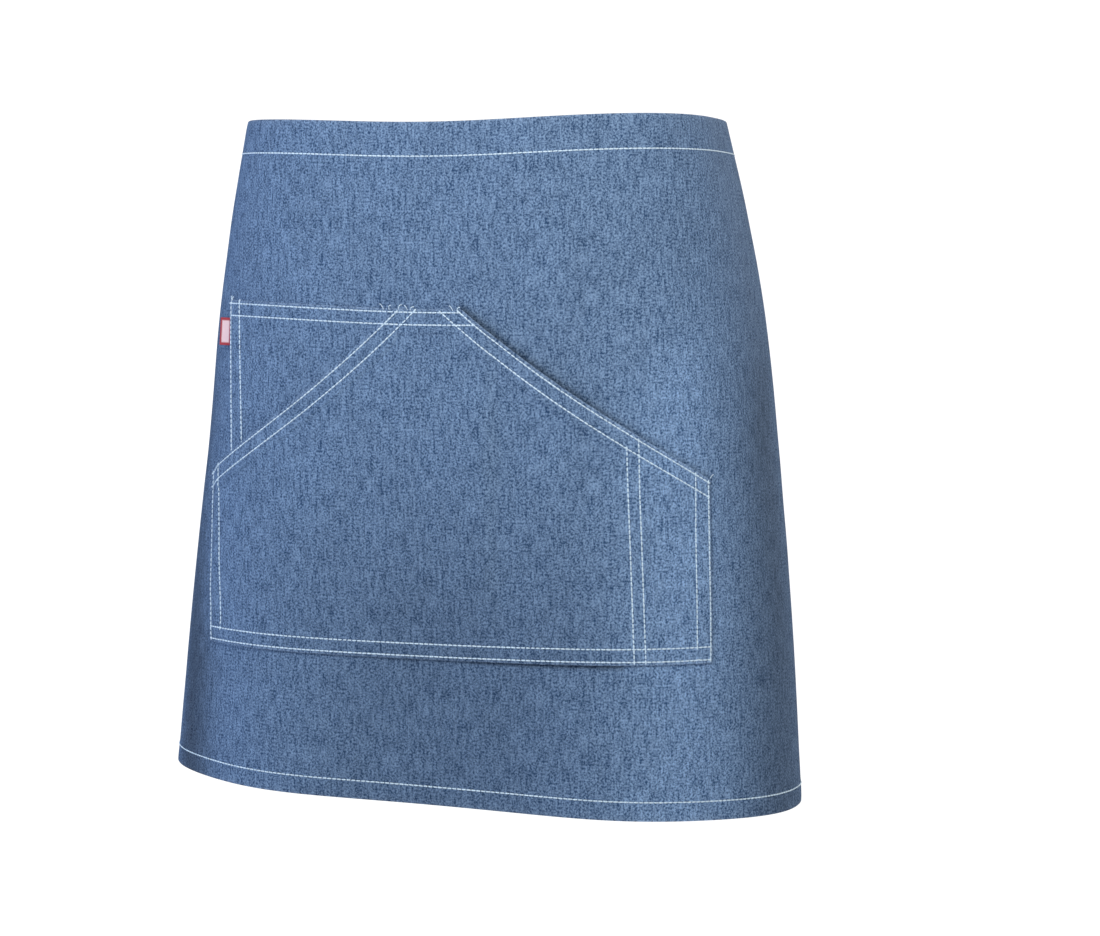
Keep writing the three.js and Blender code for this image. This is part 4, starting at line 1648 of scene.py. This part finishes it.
@dataclass
class TieStraps:
    """The ties, their knot at the centre back and their two hanging ends."""

    form: WornForm
    finishes: Finishes
    stitcher: Stitcher
    cloth: MainCloth
    width: float = 22 * MM
    thickness: float = 1.6 * MM
    root: float = 28 * MM
    tail_length: float = 230 * MM
    tail_neck: float = 13 * MM
    neck_length: float = 30 * MM
    splay: float = 22 * MM
    tail_curve: float = 1.4
    knot_width: float = 30 * MM
    knot_height: float = 27 * MM
    knot_thickness: float = 9 * MM
    wrap_width: float = 17 * MM
    wrap_lean: float = -0.12
    row_inset: float = 2 * MM
    squareness: float = 2.6
    loose_reach: float = 20 * MM
    ripple: Ripple = Ripple(0.5 * MM, 22 * MM, 40 * MM, 71)

    def _knot_centre(self) -> Array:
        """Returns the middle of the knot."""
        down = CASING_DEPTH / 2
        half = float(self.form.half_loop(down))
        return self.form.place(half, down, CLOTH + SEAT + self.thickness / 2)

    def _strap_grid(self, length: float, width: float) -> tuple[Array, Array]:
        """Returns the grid of a strap, along its length and across its width."""
        along = stations(length, 3 * MM)
        sides = stations(width, 1.6 * MM, [self.row_inset, width - self.row_inset])
        return np.meshgrid(along, sides, indexing="ij")

    def _half_thickness(self, along: Array, side: Array, length: float, width: float) -> Array:
        """Returns half the strap's thickness, rounded at its edges and drawn in at its rows."""
        inset = np.minimum(np.minimum(side, width - side), np.minimum(along, length - along))
        half = fold_height(np.maximum(0, inset), self.thickness / 2)
        places = (self.row_inset, width - self.row_inset)
        rows = sum(np.exp(-(((side - s) / (0.8 * MM)) ** 2)) for s in places)
        return half - 0.15 * MM * rows * ease(inset / MM)

    def _strap(
        self,
        names: tuple[str, str],
        side: Side,
        grid: tuple[Array, Array],
        faces: tuple[PointField, PointField],
    ) -> Piece:
        """Returns a dressed strap.

        Args:
            names: Name of the piece, and of the solid that it stands for.
            side: Side of the wearer that it is on.
            grid: Places along it and across it.
            faces: Gives the points of its outward and of its inward face.
        """
        along, across = grid
        order = faces if side is Side.LEFT else faces[::-1]
        wear = edge_wear(np.minimum(across, self.width - across), 0.4)
        shell = ClothShell(names[0], along, across, *order, strap=True)
        piece = shell.build(wear, np.zeros_like(along))
        dress(piece, self.finishes.denim, "denim", names[1])
        return piece

    def _tie_ripple(self, side: Side, x: Array, y: Array) -> Array:
        """Returns how far a tie stands out in soft waves, beyond where it is sewn on."""
        waves = self.ripple.at(x + side.value * self.ripple.across, y)
        return ease((x - self.root) / self.loose_reach) * waves

    def _tie_across(self, side: Side, start: float, length: float, x: Array, down: Array) -> Array:
        """Returns places across the cloth of points of a tie, at a distance below the top fold."""
        reach = (self.form.half_loop(down) - self.form.half_loop(0.0)) * x / length
        return side.value * (start + x + reach)

    def _tie(self, side: Side) -> Piece:
        """Returns a tie from the panel's corner to the knot."""
        start = self.cloth.half - self.root
        top = (CASING_DEPTH - self.width) / 2
        length = float(self.form.half_loop(0.0)) - self.knot_width / 2 + 3 * MM - start
        along, across = self._strap_grid(length, self.width)
        half = self._half_thickness(along, across, length, self.width)
        middle = CLOTH + 0.15 * MM + self.thickness / 2
        ripple = self._tie_ripple(side, along, across)

        def face(sign: float) -> PointField:
            """Returns the points of one face."""
            def points(x: Array, y: Array) -> Array:
                u = self._tie_across(side, start, length, x, top + y)
                return self.form.place(u, top + y, middle + sign * half + ripple)
            return points

        names = (f"tie_strap_{side.name.lower()}", f"tie_{side.name.lower()}")
        piece = self._strap(names, side, (along, across), (face(1), face(-1)))
        rows = self._tie_rows(side, start, top, length, middle)
        stitches = self.stitcher.sew(f"tie_stitches_{side.name.lower()}", rows)
        return piece

    def _tie_rows(
        self, side: Side, start: float, top: float, length: float, middle: float
    ) -> list[StitchRow]:
        """Returns the rows along a tie's edges and the crossed square at its root."""
        near, far = self.row_inset, self.width - self.row_inset
        row_end, box_end = length - 4 * MM, self.root - 4 * MM
        lines = [
            [(near, near), (row_end, near)],
            [(near, far), (row_end, far)],
            [(near, near), (near, far)],
            [(box_end, near), (box_end, far)],
            [(near, near), (box_end, far)],
            [(near, far), (box_end, near)],
        ]
        found = []
        for line in lines:
            x, y = along_line(line).T
            u = self._tie_across(side, start, length, x, top + y)
            out = middle + self.thickness / 2 + self._tie_ripple(side, x, y)
            found.append(StitchRow(self.form.place(u, top + y, out), self.form.outward(u, top + y)))
        return found

    def _tail(self, side: Side) -> Piece:
        """Returns a tie's hanging end, narrow where it leaves the knot."""
        centre = self._knot_centre()
        top = centre[2] - self.knot_height / 2 + 2 * MM
        length = self.tail_length + 2 * MM
        along, across = self._strap_grid(length, self.width)
        half = self._half_thickness(along, across, length, self.width)

        def strap_place(x: Array, y: Array) -> Array:
            """Returns the places of points in the middle of the strap's thickness."""
            share = x / length
            wide = ease(x / self.neck_length)
            width = self.tail_neck + (self.width - self.tail_neck) * wide
            lean = SEAT + self.splay * share**self.tail_curve
            sway = 2.2 * MM * ease(share) * np.sin(share * 5.5 + side.value)
            crease = 1.3 * MM * (1 - wide) * np.cos(y / self.width * math.tau)
            level = side.value * (lean + y / self.width * width)
            return np.stack([level, centre[1] + sway + crease, top - x], axis=-1)

        def face(sign: float) -> PointField:
            """Returns the points of one face."""
            shift = np.stack([0 * half, sign * half, 0 * half], axis=-1)
            inner = shift[1:-1, 1:-1].reshape(-1, 3)
            return lambda x, y: strap_place(x, y) + (shift if x.ndim == 2 else inner)

        names = (f"tie_end_{side.name.lower()}", f"tie_tail_{side.name.lower()}")
        piece = self._strap(names, side, (along, across), (face(1), face(-1)))
        rows = []
        near, far = self.row_inset, self.width - self.row_inset
        ends = [(length - 3 * MM, near), (length - 3 * MM, far)]
        starts = [(3 * MM, near), (3 * MM, far)]
        for line in ([starts[0], ends[0]], [starts[1], ends[1]], ends):
            x, y = along_line(line, 1 * MM).T
            for sign in (1, -1):
                points = strap_place(x, y) + np.array([0, sign * self.thickness * 0.5, 0])
                rows.append(StitchRow(points, np.tile([0.0, sign, 0.0], (len(points), 1))))
        stitches = self.stitcher.sew(f"tie_end_stitches_{side.name.lower()}", rows)
        return piece

    def _knot(self) -> Piece:
        """Returns the knot: a rounded lump of turned straps, with one strap wrapped over it."""
        centre = self._knot_centre()
        across, around = np.meshgrid(
            np.linspace(-1, 1, 41), np.linspace(0, math.tau, 73)[:-1], indexing="ij"
        )
        swell = np.sqrt(np.maximum(0, 1 - np.abs(across) ** 3.2))
        pinch = 1 - 0.16 * np.exp(-((across / 0.42) ** 2))
        pleats = 1 + 0.06 * np.cos(around * 3 + across * 2.2) * (1 - np.abs(across))
        radius = swell * pinch * pleats
        square = self.squareness
        flat = np.abs(np.cos(around)) ** square + np.abs(np.sin(around)) ** square
        reach = radius / flat ** (1 / square)
        core = np.stack([
            centre[0] + across * self.knot_width / 2,
            centre[1] + np.cos(around) * reach * (self.knot_thickness / 2 - 1.0 * MM),
            centre[2] + np.sin(around) * reach * (self.knot_height / 2 - 1.2 * MM),
        ], axis=-1)
        self._wrap_stitches(centre)
        return self._closed_loop("tie_knot_wrap", core, centre)

    def _closed_loop(self, name: str, core: Array, centre: Array) -> Piece:
        """Returns the knot's lump with its wrapped strap joined to it, as one piece."""
        columns, rows = core.shape[:2]
        index = np.arange(columns * rows).reshape(columns, rows)
        ring = np.hstack([index, index[:, :1]])
        faces = [
            (ring[i, j], ring[i, j + 1], ring[i + 1, j + 1], ring[i + 1, j])
            for i in range(columns - 1) for j in range(rows)
        ]
        points = core.reshape(-1, 3)
        wrap, wrap_faces = self._wrap(centre)
        both = np.vstack([points, wrap])
        piece = make_piece(name, both, [*faces, *(wrap_faces + len(points)).tolist()])
        self._merge_poles(piece)
        add_cloth_map_by_place(piece)
        count = len(piece.data.vertices)
        add_field(piece, "wear", np.full(count, 0.15))
        add_field(piece, "reverse", np.zeros(count))
        dress(piece, self.finishes.denim, "denim", "tie_knot")
        return piece

    @staticmethod
    def _merge_poles(piece: Piece) -> None:
        """Closes the lump's two ends and turns every face outwards."""
        mesh = bmesh.new()
        mesh.from_mesh(piece.data)
        bmesh.ops.remove_doubles(mesh, verts=mesh.verts, dist=1e-6)
        bmesh.ops.recalc_face_normals(mesh, faces=mesh.faces)
        mesh.to_mesh(piece.data)
        mesh.free()
        piece.data.shade_smooth()

    def _wrap_path(self, turns: Array) -> tuple[Array, Array]:
        """Returns the middle line of the wrapped strap about the knot's centre, and outward."""
        cos, sin = np.cos(turns), np.sin(turns)
        square = self.squareness
        flat = (np.abs(cos) ** square + np.abs(sin) ** square) ** (-1 / square)
        half_y = self.knot_thickness / 2
        half_z = self.knot_height / 2 - 0.4 * MM
        path = np.stack([2.5 * MM * sin, cos * flat * half_y, sin * flat * half_z], 1)
        outward = np.stack([np.zeros_like(cos), cos / half_y, sin / half_z], 1)
        return path, outward / np.linalg.norm(outward, axis=1, keepdims=True)

    def _wrap_stitches(self, centre: Array) -> None:
        """Sews the stitches along both edges of the wrapped strap."""
        path, outward = self._wrap_path(np.linspace(0, math.tau, 60))
        rows = []
        for side in Side:
            inward = self.wrap_width / 2 - self.row_inset
            shift = side.value * inward * np.array([1.0, 0.0, self.wrap_lean])
            rows.append(StitchRow(centre + path + shift + 0.55 * self.thickness * outward, outward))
        self.stitcher.sew("tie_knot_stitches", rows)

    def _wrap(self, centre: Array) -> tuple[Array, Array]:
        """Returns the points and faces of the strap that is wrapped over the knot."""
        band, thick = self.wrap_width, self.thickness
        turns = np.linspace(0, math.tau, 97)[:-1]
        section = []
        for side in np.linspace(-1, 1, 13):
            section.append((side * band / 2, thick / 2 * math.sqrt(max(0.0, 1 - side**6))))
        for side in np.linspace(1, -1, 13)[1:-1]:
            section.append((side * band / 2, -thick / 2 * math.sqrt(max(0.0, 1 - side**6))))
        section = np.array(section)
        path, outward = self._wrap_path(turns)
        wide = np.array([1.0, 0.0, self.wrap_lean])
        folds = 0.3 * MM * np.cos(section[:, 0] / band * math.tau * 1.5)
        points = (
            centre
            + path[:, None, :]
            + section[None, :, :1] * wide
            + (section[None, :, 1:] + folds[None, :, None]) * outward[:, None, :]
        )
        rows, columns = points.shape[:2]
        index = np.arange(rows * columns).reshape(rows, columns)
        index = np.vstack([index, index[:1]])
        index = np.hstack([index, index[:, :1]])
        faces = np.stack([
            index[:-1, :-1].ravel(), index[:-1, 1:].ravel(), index[1:, 1:].ravel(), index[1:, :-1].ravel(),
        ], 1)
        return points.reshape(-1, 3), faces

    def build(self) -> None:
        """Builds and dresses the ties, the knot and the ends."""
        for side in Side:
            self._tie(side)
        self._knot()
        for side in Side:
            self._tail(side)


def add_cloth_map_by_place(piece: Piece) -> None:
    """Stores a UV map that follows a piece's own X and height, in metres."""
    places = np.zeros(len(piece.data.vertices) * 3, np.float32)
    piece.data.vertices.foreach_get("co", places)
    places = places.reshape(-1, 3)
    add_cloth_map(piece, places[:, 2] + places[:, 1] * 0.6, places[:, 0])


@dataclass(frozen=True)
class SoftLight:
    """A square soft light that faces the apron.

    Attributes:
        name: Name of the light.
        azimuth: Direction that it stands in, in degrees from the front towards the wearer's left.
        elevation: Height angle that it stands at, in degrees.
        distance: Distance from the apron.
        size: Length of its side.
        power: Power in watts.
        tint: Colour of its light.
    """

    name: str
    azimuth: float
    elevation: float
    distance: float
    size: float
    power: float
    tint: Colour = (1.0, 1.0, 1.0)

    def place(self, aim: Vector) -> None:
        """Sets the light, facing a point."""
        data = bpy.data.lights.new(self.name, "AREA")
        data.size = self.size
        data.energy = self.power
        data.color = self.tint
        light = bpy.data.objects.new(self.name, data)
        level = self.distance * math.cos(math.radians(self.elevation))
        turn = math.radians(self.azimuth)
        rise = self.distance * math.sin(math.radians(self.elevation))
        away = Vector((level * math.sin(turn), -level * math.cos(turn), rise))
        light.location = aim + away
        light.rotation_mode = "QUATERNION"
        light.rotation_quaternion = (-away).to_track_quat("-Z", "Y")
        bpy.context.scene.collection.objects.link(light)


LIGHTS = (
    SoftLight("key", azimuth=20, elevation=41, distance=1.2, size=0.7, power=12.0, tint=(1.0, 0.97, 0.93)),
    SoftLight("fill", azimuth=-68, elevation=6, distance=1.6, size=0.7, power=13, tint=(0.6, 0.74, 1.0)),
    SoftLight("side", azimuth=70, elevation=20, distance=1.6, size=0.7, power=3),
    SoftLight("back", azimuth=160, elevation=25, distance=2.2, size=1.2, power=16),
)


@dataclass(frozen=True)
class Studio:
    """The pale floor, the soft light and the camera."""

    eye: tuple[float, float, float] = (0.6489, -1.9972, -0.1075)
    look: tuple[float, float, float] = (-0.29001, 0.95552, -0.0536)
    lens: float = 102.43
    sensor: float = 36.0
    aim: tuple[float, float, float] = (0.0, -0.02, -0.2)
    floor_height: float = -0.95
    floor_radius: float = 1.8
    backdrop: float = 1.1
    ambient: float = 0.13

    def build(self, lights: Sequence[SoftLight] = LIGHTS) -> None:
        """Builds the stage, the lights and the camera."""
        self._camera()
        self._floor()
        self._world()
        for light in lights:
            light.place(Vector(self.aim))
        bpy.context.scene.view_settings.view_transform = "Standard"

    def _camera(self) -> None:
        """Sets the camera at the photograph's angle."""
        data = bpy.data.cameras.new("camera")
        data.lens = self.lens
        data.sensor_width = self.sensor
        data.clip_end = 50.0
        camera = bpy.data.objects.new("camera", data)
        camera.location = self.eye
        camera.rotation_mode = "QUATERNION"
        camera.rotation_quaternion = Vector(self.look).to_track_quat("-Z", "Y")
        bpy.context.scene.collection.objects.link(camera)
        bpy.context.scene.camera = camera

    def _floor(self) -> None:
        """Lays a plain pale floor, as far below the apron as a wearer's feet."""
        turns = np.linspace(0, math.tau, 129)[:-1]
        ring = self.floor_radius * np.stack([np.cos(turns), np.sin(turns)], 1)
        corners = np.hstack([ring, np.full((len(ring), 1), self.floor_height)])
        floor = make_piece("floor", corners, [range(len(corners))])
        finish = Finish("pale_floor")
        finish.settle({
            "Base Color": (0.86, 0.87, 0.88, 1),
            "Roughness": 0.9,
            "Emission Color": (1, 1, 1, 1),
            "Emission Strength": 0.35,
        })
        floor.data.materials.append(finish.material)

    def _world(self) -> None:
        """Surrounds the scene with white, dimmer as a light than as a backdrop."""
        world = bpy.data.worlds.new("white_room")
        bpy.context.scene.world = world
        world.use_nodes = True
        tree = world.node_tree
        back = tree.nodes["Background"]
        back.inputs["Color"].default_value = (1, 1, 1, 1)
        path = add_node(tree, "ShaderNodeLightPath", {})
        seen = math_node(tree, "MULTIPLY", path.outputs["Is Camera Ray"], self.backdrop - self.ambient)
        link(tree, math_node(tree, "ADD", seen, self.ambient), back.inputs["Strength"])


def main() -> None:
    """Builds the stage and the apron."""
    logging.basicConfig(level=logging.INFO, format="%(name)s: %(message)s")
    Studio().build()
    finishes = build_finishes()
    form = WornForm()
    stitcher = Stitcher(finishes.thread)
    cloth = MainCloth(form, finishes, stitcher)
    patch = PatchPocket(form, finishes, stitcher)
    front = FrontPocket(form, finishes, stitcher, patch)
    TieStraps(form, finishes, stitcher, cloth).build()
    cloth.build(front)
    patch.build(front)
    front.build()
    ThreadEnds(form, finishes, patch, front).build()
    SideLabel(form, finishes, patch).build()


if __name__ == "__main__":
    main()
